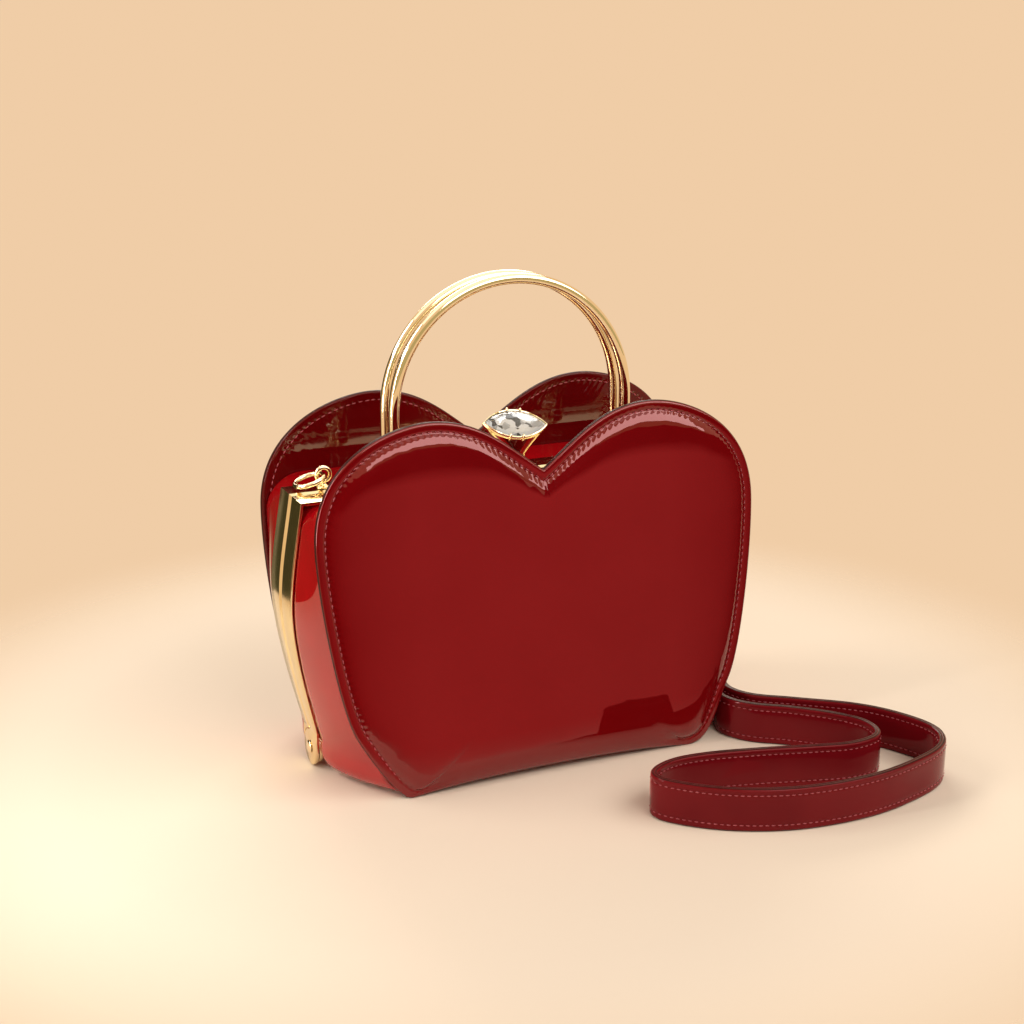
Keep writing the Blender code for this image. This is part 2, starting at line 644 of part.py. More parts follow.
def make_hinge_pins(parent):
    """Rivets along X, with a domed head outside and a flush end inside."""
    head = FRAME_FOOT_X + LUG_PROUD + CLEARANCE
    tail = FRAME_FOOT_X + LUG_PROUD - 2 * LUG_SHEET - LUG_GAP - CLEARANCE
    profile = [(0, tail), (PIN_RADIUS, tail), (PIN_RADIUS, head), (RIVET_HEAD_RADIUS, head)]
    for k in range(1, 5):
        angle = pi / 2 * k / 4
        profile.append((RIVET_HEAD_RADIUS * cos(angle), head + RIVET_HEAD_HEIGHT * sin(angle)))
    profile[-1] = (0, head + RIVET_HEAD_HEIGHT)
    for side, where in ((-1, "left"), (1, "right")):
        mesh = turned([(radius, side * x) for radius, x in profile], axis="X",
                      place=(0, 0, HINGE_HEIGHT), sides=16)
        pin = add_object(f"hinge_pin_{where}", mesh, GOLD)
        seat(pin, parent, (side * head, 0, HINGE_HEIGHT))


def torus_mesh(matrix, ring, wire, ring_sides, wire_sides):
    circle = [(ring + wire * cos(2 * pi * k / wire_sides), wire * sin(2 * pi * k / wire_sides))
              for k in range(wire_sides)]
    mesh = turned(circle, sides=ring_sides)
    mesh.transform(matrix)
    return mesh


def make_rings(parent):
    """An eye on a stem near each end of the back top bar, and a loose ring through it."""
    base = FRAME_HEIGHT + CLEARANCE
    eye_z = FRAME_HEIGHT + EYE_LIFT
    for side, where in ((-1, "left"), (1, "right")):
        x = side * RING_X
        stem = turned(((0, 0), (EYE_BASE_RADIUS, 0), (EYE_BASE_RADIUS, EYE_BASE_HEIGHTS[0]),
                       (EYE_STEM_RADIUS, EYE_BASE_HEIGHTS[1]), (EYE_STEM_RADIUS, EYE_LIFT - EYE_RADIUS),
                       (0, EYE_LIFT - EYE_RADIUS)), place=(x, RING_Y, base), sides=12)
        lug = add_object(f"ring_lug_{where}", stem, GOLD)
        upright = Matrix.Translation((x, RING_Y, eye_z)) @ Matrix.Rotation(pi / 2, 4, "X")
        combine(lug, torus_mesh(upright, EYE_RADIUS, EYE_WIRE, 16, 6), "UNION")
        seat(lug, parent, (x, RING_Y, base))
        pivot = add_empty(f"{where}_ring_axis", (x, RING_Y, eye_z), parent)
        centre_x = x + side * RING_RADIUS * cos(RING_SLOPE)
        centre_z = eye_z - RING_RADIUS * sin(RING_SLOPE)
        lie = Matrix.Translation((centre_x, RING_Y, centre_z)) @ Matrix.Rotation(side * RING_SLOPE, 4, "Y")
        ring = add_object(f"{where}_ring", torus_mesh(lie, RING_RADIUS, RING_WIRE, 24, 8), GOLD)
        seat(ring, pivot, (x, RING_Y, eye_z))


def marquise(half_length, half_width, sides):
    """A pointed oval of two equal arcs, as (x, y) points."""
    radius = (half_length ** 2 + half_width ** 2) / (2 * half_width)
    reach = asin(half_length / radius)
    points = []
    for k in range(sides):
        turn = 4 * k / sides
        share = mix(-1, 1, turn / 2 % 1)
        facing = 1 if turn < 2 else -1
        angle = reach * share
        points.append((facing * radius * sin(angle) * -1, facing * (radius * cos(angle) - radius + half_width)))
    return points


def stone_place():
    lean = Matrix.Rotation(STONE_TILT, 4, "X")
    cant = Matrix.Rotation(-STONE_CANT, 4, "Z")
    return Matrix.Translation((0, CLASP_Y, STONE_HEIGHT)) @ lean @ cant


def make_clasp(parent):
    """A lever hinged on the back bar, which carries the cup and its stone over the front bar."""
    axis_z = FRAME_HEIGHT + CLASP_AXIS_LIFT
    base = FRAME_HEIGHT + CLEARANCE
    axis = add_empty("clasp_axis", (0, CLASP_AXIS_Y, axis_z), parent)
    ear_low = BARREL_HALF_LENGTH + CLEARANCE
    ear_high = ear_low + EAR_THICKNESS
    pin_end = ear_high + PIN_OVERHANG

    plate = box((-ear_high, CLASP_AXIS_Y - BRACKET_HALF_DEPTH, base),
                (ear_high, CLASP_AXIS_Y + BRACKET_HALF_DEPTH, base + BRACKET_SHEET))
    bracket = add_object("clasp_bracket", plate, GOLD)
    for side in (-1, 1):
        low, high = sorted((side * ear_low, side * ear_high))
        ear = box((low, CLASP_AXIS_Y - EAR_HALF_DEPTH, base + BRACKET_SHEET / 3),
                  (high, CLASP_AXIS_Y + EAR_HALF_DEPTH, axis_z + EAR_RISE))
        combine(bracket, ear, "UNION")
    pin = turned(((0, -pin_end), (CLASP_PIN_RADIUS, -pin_end), (CLASP_PIN_RADIUS, pin_end), (0, pin_end)),
                 axis="X", place=(0, CLASP_AXIS_Y, axis_z), sides=12)
    combine(bracket, pin, "UNION")
    seat(bracket, parent, (0, CLASP_AXIS_Y, base))

    barrel = turned(((BARREL_BORE, -BARREL_HALF_LENGTH), (BARREL_RADIUS, -BARREL_HALF_LENGTH),
                     (BARREL_RADIUS, BARREL_HALF_LENGTH), (BARREL_BORE, BARREL_HALF_LENGTH)),
                    axis="X", place=(0, CLASP_AXIS_Y, axis_z), sides=20)
    lever = add_object("clasp_lever", barrel, GOLD)
    plate_low = axis_z - 0.5 * LEVER_THICKNESS
    plate_end = CLASP_AXIS_Y - (BARREL_BORE + BARREL_RADIUS) / 2
    plate = box((-LEVER_HALF_WIDTH, LEVER_FRONT_Y, plate_low),
                (LEVER_HALF_WIDTH, plate_end, plate_low + LEVER_THICKNESS))
    combine(lever, plate, "UNION")
    seat(lever, axis, (0, CLASP_AXIS_Y, axis_z))

    place = stone_place()
    stem_low = plate_low + LEVER_THICKNESS + CLEARANCE

    def ring_at(scale, rise, growth=0.0):
        outline = marquise(STONE_HALF_LENGTH * scale + growth, STONE_HALF_WIDTH * scale + growth, STONE_SIDES)
        return [place @ Vector((x, y, rise)) for x, y in outline]

    def stem_ring(height, scale=1.0):
        points = []
        for x, y in marquise(STONE_HALF_LENGTH, STONE_HALF_WIDTH, STONE_SIDES):
            turn = Vector((x / STONE_HALF_LENGTH, y / STONE_HALF_WIDTH)).normalized()
            points.append(Vector((turn.x * STEM_HALF_WIDTH * scale,
                                  CLASP_Y + turn.y * STEM_HALF_DEPTH * scale, height)))
        return points

    skirt = ring_at(1.0, RIM_SKIRT, RIM_WIDTH)
    neck = [[stem.lerp(rim, share) for stem, rim in zip(stem_ring(STEM_TOP), skirt)] for share in (0.35, 0.7)]
    base_top, waist = (stem_low + height for height in STEM_BASE_HEIGHTS)
    rows = [stem_ring(stem_low, STEM_BASE_SCALE), stem_ring(base_top, STEM_BASE_SCALE), stem_ring(waist),
            stem_ring(STEM_TOP), *neck, skirt, ring_at(1.0, RIM_TOP, RIM_WIDTH),
            ring_at(1.0, RIM_TOP, CLEARANCE), ring_at(1.0, RIM_LEDGE, CLEARANCE),
            ring_at(0.36, -PAVILION_DEPTH - CLEARANCE, CLEARANCE)]
    cup = add_object("clasp_cup", skin(rows, caps=True), GOLD)
    seat(cup, axis, (0, CLASP_Y, stem_low))

    facets = [ring_at(0.3, -PAVILION_DEPTH), ring_at(1.0, GIRDLE[0]), ring_at(1.0, GIRDLE[1]),
              ring_at(0.84, 0.58 * CROWN_HEIGHT), ring_at(0.56, CROWN_HEIGHT)]
    stone_mesh = skin(facets, caps=True)
    stone_mesh.shade_flat()
    stone = add_object("clasp_stone", stone_mesh, CRYSTAL)
    seat(stone, axis, (0, CLASP_Y, STONE_HEIGHT))


def make_catch(parent):
    """A low magnet on the front bar, under the front end of the lever."""
    base = FRAME_HEIGHT + CLEARANCE
    top = CLASP_AXIS_LIFT - 0.5 * LEVER_THICKNESS - 2 * CLEARANCE
    profile = ((0, 0), (CATCH_RADIUS, 0), (CATCH_RADIUS, 0.6 * top),
               (CATCH_RADIUS - CATCH_CHAMFER, top), (0, top))
    catch = add_object("clasp_catch", turned(profile, place=(0, CLASP_Y, base)), STEEL)
    seat(catch, parent, (0, CLASP_Y, base))


# The strap's route on the floor, from one end behind the bag to the other, as (x, y) in millimetres
STRAP_ROUTE = (
    (25, 130), (55, 130), (84, 127), (101, 116), (106.5, 97), (106.5, 70), (105.5, 40), (103, 18), (99.5, 2),
    (94.5, -18), (89, -33), (86, -45),
    (92, -57), (106, -68), (120, -82), (127, -95), (124, -107), (110, -111), (92, -107),
    (68, -100), (44, -95), (28, -96), (18, -104), (24, -116), (42, -130), (66, -139),
    (96, -141), (122, -136), (142, -127), (150, -113), (146, -95), (135, -78), (113, -60),
    (98, -48), (93.5, -36), (98.5, -20), (104.5, 2), (109, 18), (112.5, 40), (114, 70), (115, 97), (111, 120),
    (95, 136), (65, 140), (30, 140), (10, 140))


def route_curve():
    """A smooth line through the route's points, cut to equal steps."""
    knots = [Vector((x * MM, y * MM, 0)) for x, y in STRAP_ROUTE]
    knots = [knots[0] * 2 - knots[1]] + knots + [knots[-1] * 2 - knots[-2]]
    fine = []
    for before, start, end, after in zip(knots, knots[1:], knots[2:], knots[3:]):
        reach = (end - start).length
        lead_in = (end - before).normalized() * reach / 3
        lead_out = (after - start).normalized() * reach / 3
        fine += interpolate_bezier(start, start + lead_in, end - lead_out, end, 13)[:-1]
    fine.append(knots[-2])
    steps = [(b - a).length for a, b in zip(fine, fine[1:])]
    length = sum(steps)
    points = []
    walked = 0.0
    index = 0
    for k in range(STRAP_POINTS):
        target = length * k / (STRAP_POINTS - 1)
        while index < len(steps) - 1 and walked + steps[index] < target:
            walked += steps[index]
            index += 1
        points.append(fine[index].lerp(fine[index + 1], (target - walked) / steps[index]))
    return points, length


def directions(points):
    ahead = points[1:] + [points[-1] * 2 - points[-2]]
    behind = [points[0] * 2 - points[1]] + points[:-1]
    return [(b - a).normalized() for a, b in zip(behind, ahead)]


def make_strap(parent):
    """A flat strap that stands on one edge, with rounded long edges."""
    points, length = route_curve()
    middle_z = CLEARANCE + STRAP_WIDTH / 2
    half = STRAP_THICKNESS / 2
    flat = half - STRAP_EDGE_ROUNDING
    top = STRAP_WIDTH / 2
    shoulder = top - STRAP_EDGE_ROUNDING
    section = ((-half, -shoulder), (-flat, -top), (flat, -top), (half, -shoulder),
               (half, shoulder), (flat, top), (-flat, top), (-half, shoulder))
    rows = []
    for point, ahead in zip(points, directions(points)):
        across = Vector((ahead.y, -ahead.x, 0))
        rows.append([point + across * out + Vector((0, 0, middle_z + up)) for out, up in section])
    strap = add_object("strap", skin(rows, caps=True), PATENT)
    seat(strap, parent, rows[0][0])
    print("strap length in metres:", round(length, 4))
    make_strap_end("a", points[0], (points[0] - points[1]).normalized(), middle_z, parent)
    make_strap_end("b", points[-1], (points[-1] - points[-2]).normalized(), middle_z, parent)


def make_strap_end(name, end, ahead, middle_z, parent):
    """The loop in the strap's folded end, and the snap hook that turns on it, with its gate."""
    place = Matrix.Translation(Vector((end.x, end.y, middle_z)))
    place @= Matrix(((ahead.x, -ahead.y, 0, 0), (ahead.y, ahead.x, 0, 0), (0, 0, 1, 0), (0, 0, 0, 1)))
    sideways = Vector((0, 1, 0))
    loop_line = []
    for k in range(16):
        angle = 2 * pi * k / 16
        bulge = LOOP_HALF_DEPTH * abs(cos(angle)) ** LOOP_ROUNDNESS * (1 if cos(angle) > 0 else -1)
        out = HOOK_GAP + LOOP_WIRE + LOOP_HALF_DEPTH + bulge
        loop_line.append(Vector((out, 0, LOOP_HALF_HEIGHT * sin(angle))))
    rows = []
    for point, direction in zip(loop_line, closed_directions(loop_line)):
        out = direction.cross(sideways)
        rows.append([place @ (point + (out * cos(pi * k / 3) + sideways * sin(pi * k / 3)) * LOOP_WIRE)
                     for k in range(6)])
    loop = add_object(f"strap_loop_{name}", skin(rows + rows[:1]), GOLD)
    seat(loop, parent, place @ Vector((HOOK_GAP, 0, 0)))

    start = 2 * (HOOK_GAP + LOOP_WIRE + LOOP_HALF_DEPTH)
    base, waist, top = SWIVEL_HEIGHTS
    swivel = turned(((0, 0), (SWIVEL_RADIUS, 0), (SWIVEL_RADIUS, base), (HOOK_NECK_RADIUS, waist),
                     (HOOK_NECK_RADIUS, top), (0, top)), axis="X", sides=12)
    swivel.transform(place @ Matrix.Translation((start, 0, 0)))
    hook = add_object(f"strap_hook_{name}", swivel, GOLD)
    claw = [Vector((start + CLAW_ROOT[0], 0, CLAW_ROOT[1]))]
    for k in range(15):
        angle = mix(*CLAW_ANGLES, k / 14)
        reach, rise = CLAW_HALF_SIZES
        claw.append(Vector((start + CLAW_CENTRE + reach * cos(angle), 0, rise * sin(angle))))
    combine(hook, tube_mesh([place @ point for point in claw], CLAW_WIRE), "UNION")
    seat(hook, parent, place @ Vector((start, 0, 0)))

    gate_line = [place @ Vector((start + x, 0, z)) for x, z in GATE_LINE]
    gate = add_object(f"strap_gate_{name}", tube_mesh(gate_line, GATE_WIRE), GOLD)
    seat(gate, parent, gate_line[0])


def closed_directions(points):
    return [(points[(k + 1) % len(points)] - points[k - 1]).normalized() for k in range(len(points))]


def build():
    front = add_empty("front_half", (0, 0, 0))
    back = add_empty("back_half_axis", (0, 0, HINGE_HEIGHT), front)
    for prefix, side, parent in (("front", -1, front), ("back", 1, back)):
        make_panel(f"{prefix}_panel", side, parent)
        make_gusset(f"{prefix}_gusset", side, parent)
        make_lining(f"{prefix}_lining", side, parent)
        make_frame(f"{prefix}_frame", side, parent)
        make_handle(prefix, side, parent)
    make_hinge_pins(front)
    make_catch(front)
    make_clasp(back)
    make_rings(back)
    make_strap(front)


build()
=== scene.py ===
from math import asin, cos, pi, radians, sin, sqrt

import bmesh
import bpy
from mathutils import Matrix, Vector, noise
from mathutils.geometry import interpolate_bezier


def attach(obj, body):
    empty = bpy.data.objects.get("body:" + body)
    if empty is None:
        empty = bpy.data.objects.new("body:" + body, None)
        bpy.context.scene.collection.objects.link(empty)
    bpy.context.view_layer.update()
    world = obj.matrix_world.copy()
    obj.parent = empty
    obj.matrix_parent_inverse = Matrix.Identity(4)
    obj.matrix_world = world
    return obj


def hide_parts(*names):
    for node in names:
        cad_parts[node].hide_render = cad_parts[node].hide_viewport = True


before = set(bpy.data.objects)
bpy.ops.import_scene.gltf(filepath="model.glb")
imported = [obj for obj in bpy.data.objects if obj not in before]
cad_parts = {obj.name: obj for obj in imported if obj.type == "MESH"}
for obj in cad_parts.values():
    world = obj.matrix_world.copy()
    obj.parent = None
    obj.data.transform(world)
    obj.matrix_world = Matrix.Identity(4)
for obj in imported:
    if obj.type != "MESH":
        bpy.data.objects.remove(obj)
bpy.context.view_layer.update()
mm = 0.001
mergeWithin = 1e-6

# small helpers

def mix(a, b, share):
    return a + (b - a) * share


def clamp(value):
    return max(0.0, min(1.0, value))


def ease(value):
    value = clamp(value)
    return value * value * (3 - 2 * value)


def nearTo(value, spot, width):
    # 1 at the spot, falling straight to 0 a width away
    return max(0.0, 1 - abs(value - spot) / width)


def alongTable(table, at):
    # straight lines between (place, value) pairs
    for (a, low), (b, high) in zip(table, table[1:]):
        if at <= b:
            return mix(low, high, clamp((at - a) / (b - a)))
    return table[-1][1]


def gridMesh(rows, wrap=True, caps=False, inside=None, sharp=None):
    # lays a bmesh grid over rows of points; caps close the first and last row to their middles
    rows = [list(row) for row in rows]
    if caps:
        for spot, row in ((0, rows[0]), (len(rows) + 1, rows[-1])):
            middle = sum(row, Vector()) / len(row)
            rows.insert(spot, [middle] * len(row))
    columns = len(rows[0])
    across = columns if wrap else columns - 1
    bm = bmesh.new()
    bmesh.ops.create_grid(bm, x_segments=across, y_segments=len(rows) - 1, size=1.0)
    for vert in bm.verts:
        column = round((vert.co.x + 1) / 2 * across) % columns
        row = round((vert.co.y + 1) / 2 * (len(rows) - 1))
        vert.co = rows[row][column]
    bmesh.ops.remove_doubles(bm, verts=bm.verts, dist=mergeWithin)
    bmesh.ops.recalc_face_normals(bm, faces=bm.faces)
    if inside is not None:
        leaning = sum(face.normal.dot(face.calc_center_median() - inside) * face.calc_area() for face in bm.faces)
        if leaning < 0:
            bmesh.ops.reverse_faces(bm, faces=bm.faces)
    return meshFrom(bm, sharp)


def meshFrom(bm, sharp=None):
    mesh = bpy.data.meshes.new("shape")
    bm.to_mesh(mesh)
    bm.free()
    mesh.shade_smooth()
    if sharp is not None:
        mesh.set_sharp_from_angle(angle=radians(sharp))
    return mesh


def addPiece(name, mesh, material, body, stands=()):
    obj = bpy.data.objects.new(name, mesh)
    bpy.context.scene.collection.objects.link(obj)
    mesh.materials.append(material)
    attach(obj, body)
    if stands:
        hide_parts(*stands)
    return obj


def addGold(name, mesh, body, node=None):
    return addPiece(name, mesh, goldBright, body, [node] if node else ())


def placeAt(x, y, z, angle=0, axis="X"):
    # the place of a mesh that is drawn in millimetres
    return Matrix.Translation(Vector((x, y, z)) * mm) @ Matrix.Rotation(angle, 4, axis) @ Matrix.Scale(mm, 4)


def smoothLine(knots, steps):
    # a smooth curve through the knots
    knots = [knots[0] * 2 - knots[1]] + knots + [knots[-1] * 2 - knots[-2]]
    line = []
    for before, start, end, after in zip(knots, knots[1:], knots[2:], knots[3:]):
        reach = (end - start).length
        leadIn = (end - before).normalized() * reach / 3
        leadOut = (after - start).normalized() * reach / 3
        line += interpolate_bezier(start, start + leadIn, end - leadOut, end, steps)[:-1]
    return line + [knots[-2]]


def evenLine(line, count, closed=False):
    # the same line cut to equal steps
    if closed:
        line = line + line[:1]
    lengths = [(b - a).length for a, b in zip(line, line[1:])]
    total = sum(lengths)
    parts = count if closed else count - 1
    points, walked, index = [], 0.0, 0
    for k in range(count):
        target = total * k / parts
        while index < len(lengths) - 1 and walked + lengths[index] < target:
            walked += lengths[index]
            index += 1
        points.append(line[index].lerp(line[index + 1], (target - walked) / max(lengths[index], 1e-9)))
    return points, total


def directions(points, closed=False):
    if closed:
        return [(points[(k + 1) % len(points)] - points[k - 1]).normalized() for k in range(len(points))]
    ahead = points[1:] + [points[-1] * 2 - points[-2]]
    behind = [points[0] * 2 - points[1]] + points[:-1]
    return [(b - a).normalized() for a, b in zip(behind, ahead)]


def tubeMesh(points, radius, sides=24, up=Vector((0, 1, 0)), closed=False, taper=None):
    # a round bar along a flat line; taper gives its radius at each share of the way
    rows = []
    for k, (point, ahead) in enumerate(zip(points, directions(points, closed))):
        across = ahead.cross(up).normalized()
        thick = radius * (alongTable(taper, k / (len(points) - 1)) if taper else 1)
        rows.append([point + (across * cos(2 * pi * s / sides) + up * sin(2 * pi * s / sides)) * thick
                     for s in range(sides)])
    if closed:
        rows.append(rows[0])
    return gridMesh(rows, caps=not closed, sharp=50)


def turnedMesh(profile, matrix, sides=48, sharp=40):
    # spins a profile of (radius, height) about Z, then moves it
    bm = bmesh.new()
    verts = [bm.verts.new((radius, 0, height)) for radius, height in profile]
    edges = [bm.edges.new(pair) for pair in zip(verts, verts[1:])]
    bmesh.ops.spin(bm, geom=verts + edges, cent=(0, 0, 0), axis=(0, 0, 1), angle=2 * pi, steps=sides, use_merge=True)
    bmesh.ops.remove_doubles(bm, verts=bm.verts, dist=mergeWithin)
    bmesh.ops.recalc_face_normals(bm, faces=bm.faces)
    bmesh.ops.transform(bm, matrix=matrix, verts=bm.verts)
    return meshFrom(bm, sharp)


def joinMeshes(meshes):
    bm = bmesh.new()
    for mesh in meshes:
        bm.from_mesh(mesh)
    return meshFrom(bm)


def boxMesh(low, high, rounding, segments=3):
    # a softened box between two corners in millimetres
    low, high = Vector(low) * mm, Vector(high) * mm
    bm = bmesh.new()
    bmesh.ops.create_cube(bm, size=1.0)
    bmesh.ops.scale(bm, vec=high - low, verts=bm.verts)
    bmesh.ops.translate(bm, vec=(low + high) / 2, verts=bm.verts)
    bmesh.ops.bevel(bm, geom=bm.edges, offset=rounding * mm, affect="EDGES", segments=segments, profile=0.5,
                    material=-1)
    return meshFrom(bm, 40)


# camera

camera = {"place": (-0.2927, -0.6515, 0.3103), "yaw": -24.34, "pitch": 16.24, "focalPixels": 1701.0, "pixels": 1024}
cameraData = bpy.data.cameras.new("camera")
cameraData.sensor_width = 36
cameraData.lens = camera["focalPixels"] / camera["pixels"] * cameraData.sensor_width
cameraData.clip_start = 0.01
cameraObj = bpy.data.objects.new("camera", cameraData)
cameraObj.location = camera["place"]
cameraObj.rotation_euler = (radians(90 - camera["pitch"]), 0, radians(camera["yaw"]))
bpy.context.scene.collection.objects.link(cameraObj)
bpy.context.scene.camera = cameraObj

# shared surface effects

def feed(socket, value):
    # another node's output is linked, and a plain value is set
    if isinstance(value, bpy.types.NodeSocket):
        socket.id_data.links.new(value, socket)
    else:
        socket.default_value = value


def feedSockets(node, **values):
    for label, value in values.items():
        feed(node.inputs[label.replace("_", " ")], value)


def addNode(tree, kind, *values, **named):
    # named values go to a setting or to the socket of that name, the others to the sockets in their order
    node = tree.nodes.new("ShaderNode" + kind)
    for key, value in named.items():
        if hasattr(node, key):
            setattr(node, key, value)
        else:
            feedSockets(node, **{key: value})
    for socket, value in zip(node.inputs, values):
        feed(socket, value)
    return node


def objectSpace(tree):
    return addNode(tree, "TexCoord").outputs["Object"]


def noiseOver(tree, place, **values):
    return addNode(tree, "TexNoise", Vector=place, **values).outputs["Fac"]


def mathOf(tree, operation, *values):
    return addNode(tree, "Math", *values, operation=operation).outputs["Value"]


def rangeOf(tree, value, **limits):
    return addNode(tree, "MapRange", Value=value, **limits).outputs["Result"]


def mixedColour(tree, share, low, high):
    return addNode(tree, "Mix", data_type="RGBA", Factor=share, A=low, B=high).outputs["Result"]


def rampColour(tree, source, *stops, interpolation="LINEAR"):
    # each stop is (place, tone)
    node = addNode(tree, "ValToRGB", Fac=source)
    ramp = node.color_ramp
    ramp.interpolation = interpolation
    while len(ramp.elements) < len(stops):
        ramp.elements.new(0.5)
    for element, (place, tone) in zip(ramp.elements, stops):
        element.position, element.color = place, (*tone, 1)
    return node.outputs["Color"]


def bumpNormal(tree, height, strength, distance):
    return addNode(tree, "Bump", Strength=strength, Distance=distance, Height=height).outputs["Normal"]


def clearWhere(tree, mask):
    # the surface is clear where the mask is 1
    shader, clear = tree.nodes["Principled BSDF"], addNode(tree, "BsdfTransparent")
    blend = addNode(tree, "MixShader", mask, shader.outputs["BSDF"], clear.outputs["BSDF"])
    feedSockets(tree.nodes["Material Output"], Surface=blend.outputs["Shader"])


def newMaterial(name, colour=None):
    material = bpy.data.materials.new(name)
    material.use_nodes = True
    if colour:
        material.diffuse_color = (*colour, 1)
    return material, material.node_tree, material.node_tree.nodes["Principled BSDF"]


def newGroup(name, **inputs):
    # a shared effect with a colour, a roughness and a height; each input is given by its plain value
    group = bpy.data.node_groups.new(name, "ShaderNodeTree")
    for label, value in inputs.items():
        kind = "Float" if isinstance(value, float) else "Color" if len(value) == 4 else "Vector"
        label = label.replace("_", " ")
        group.interface.new_socket(name=label, in_out="INPUT", socket_type="NodeSocket" + kind).default_value = value
    for label, kind in (("Colour", "Color"), ("Roughness", "Float"), ("Height", "Float")):
        group.interface.new_socket(name=label, in_out="OUTPUT", socket_type="NodeSocket" + kind)
    return group, group.nodes.new("NodeGroupInput").outputs, group.nodes.new("NodeGroupOutput")


def patentSkinGroup():
    # slow colour drift, faint orange peel and a few dust specks under the lacquer
    group, start, end = newGroup("patentSkin", Colour=(0.2, 0, 0, 1), Deep_Colour=(0.1, 0, 0, 1), Ripple=0.02,
                                 Gloss_Roughness=0.03)
    place = objectSpace(group)
    drift = rangeOf(group, noiseOver(group, place, Scale=26.0, Detail=3.0), From_Min=0.35, From_Max=0.65)
    dust = rangeOf(group, noiseOver(group, place, Scale=900.0, Detail=2.0), From_Min=0.70, From_Max=0.78,
                   To_Min=0.0, To_Max=0.10)
    peel = noiseOver(group, place, Scale=210.0, Detail=2.0, Roughness=0.45)
    swell = noiseOver(group, place, Scale=38.0, Detail=1.5)
    lumps = mathOf(group, "ADD", swell, mathOf(group, "MULTIPLY", peel, 0.12))
    feedSockets(end, Colour=mixedColour(group, drift, start["Deep Colour"], start["Colour"]),
                Roughness=mathOf(group, "ADD", dust, start["Gloss Roughness"]),
                Height=mathOf(group, "MULTIPLY", lumps, start["Ripple"]))
    return group


def platedSurfaceGroup():
    # hairlines along one direction and soft wear, for plated metal
    group, start, end = newGroup("platedSurface", Colour=(0.8, 0.6, 0.3, 1), Worn_Colour=(0.9, 0.75, 0.5, 1),
                                 Stretch=(60, 60, 900), Base_Roughness=0.1, Hairline=0.08)
    place = objectSpace(group)
    stretched = addNode(group, "VectorMath", place, start["Stretch"], operation="MULTIPLY").outputs["Vector"]
    hairs = noiseOver(group, stretched, Scale=1.0, Detail=4.0, Roughness=0.6)
    wear = rangeOf(group, noiseOver(group, place, Scale=55.0, Detail=3.0), From_Min=0.4, From_Max=0.7)
    lines = mathOf(group, "MULTIPLY", hairs, start["Hairline"])
    feedSockets(end, Colour=mixedColour(group, wear, start["Colour"], start["Worn Colour"]),
                Roughness=mathOf(group, "ADD", lines, start["Base Roughness"]), Height=lines)
    return group


patentSkin = patentSkinGroup()
platedSurface = platedSurfaceGroup()


def patentMaterial(name, colour, deep, ripple=0.02, gloss=0.03, bump=0.35, lacquer=0.65, tint=1.0):
    material, tree, shader = newMaterial(name, colour)
    skin = addNode(tree, "Group", node_tree=patentSkin, Colour=(*colour, 1), Deep_Colour=(*deep, 1), Ripple=ripple,
                   Gloss_Roughness=gloss).outputs
    feedSockets(shader, Base_Color=skin["Colour"], Roughness=skin["Roughness"], Specular_IOR_Level=lacquer,
                Specular_Tint=(1.0, tint, tint, 1), Normal=bumpNormal(tree, skin["Height"], bump, 0.001))
    return material


def platedMaterial(name, colour, worn, stretch, roughness, hairline, bump=0.0):
    material, tree, shader = newMaterial(name, colour)
    skin = addNode(tree, "Group", node_tree=platedSurface, Colour=(*colour, 1), Worn_Colour=(*worn, 1),
                   Stretch=stretch, Base_Roughness=roughness, Hairline=hairline).outputs
    feedSockets(shader, Base_Color=skin["Colour"], Roughness=skin["Roughness"], Metallic=1.0)
    if bump:
        feedSockets(shader, Normal=bumpNormal(tree, skin["Height"], bump, 0.0002))
    return material


panelPatent = patentMaterial("panelPatent", (0.165, 0.002, 0.003), (0.155, 0.001, 0.002), lacquer=1.0, tint=0.56)
gussetPatent = patentMaterial("gussetPatent", (0.40, 0.003, 0.006), (0.33, 0.002, 0.004), ripple=0.03, lacquer=0.8)
# the panels' inner faces: a darker copy of the panel patent, painted shade where little light reaches
shadedInnerPatent = patentMaterial("shadedInnerPatent", (0.110, 0.0015, 0.002), (0.095, 0.001, 0.0015), ripple=0.015, lacquer=0.30)
strapPatent = patentMaterial("strapPatent", (0.165, 0.005, 0.008), (0.135, 0.003, 0.006), ripple=0.015, lacquer=0.26,
                             tint=0.6)
goldSheet = platedMaterial("goldSheet", (0.87, 0.70, 0.40), (0.93, 0.78, 0.48), (900, 900, 40), 0.10, 0.08, 0.04)
goldBright = platedMaterial("goldBright", (0.92, 0.79, 0.54), (0.96, 0.85, 0.62), (40, 40, 40), 0.045, 0.04)
magnetSteel = platedMaterial("magnetSteel", (0.60, 0.55, 0.45), (0.68, 0.63, 0.55), (500, 500, 60), 0.22, 0.12)


def edgePaintMaterial():
    # thick lacquer brushed on the cut edges, a little uneven
    material, tree, shader = newMaterial("edgePaint")
    brushed = noiseOver(tree, objectSpace(tree), Scale=420.0, Detail=3.0)
    tones = rampColour(tree, brushed, (0.3, (0.022, 0.005, 0.004)), (0.75, (0.060, 0.012, 0.010)))
    feedSockets(shader, Base_Color=tones, Roughness=0.30, Specular_IOR_Level=0.16, Specular_Tint=(1.0, 0.6, 0.5, 1),
                Normal=bumpNormal(tree, brushed, 0.25, 0.0004))
    return material


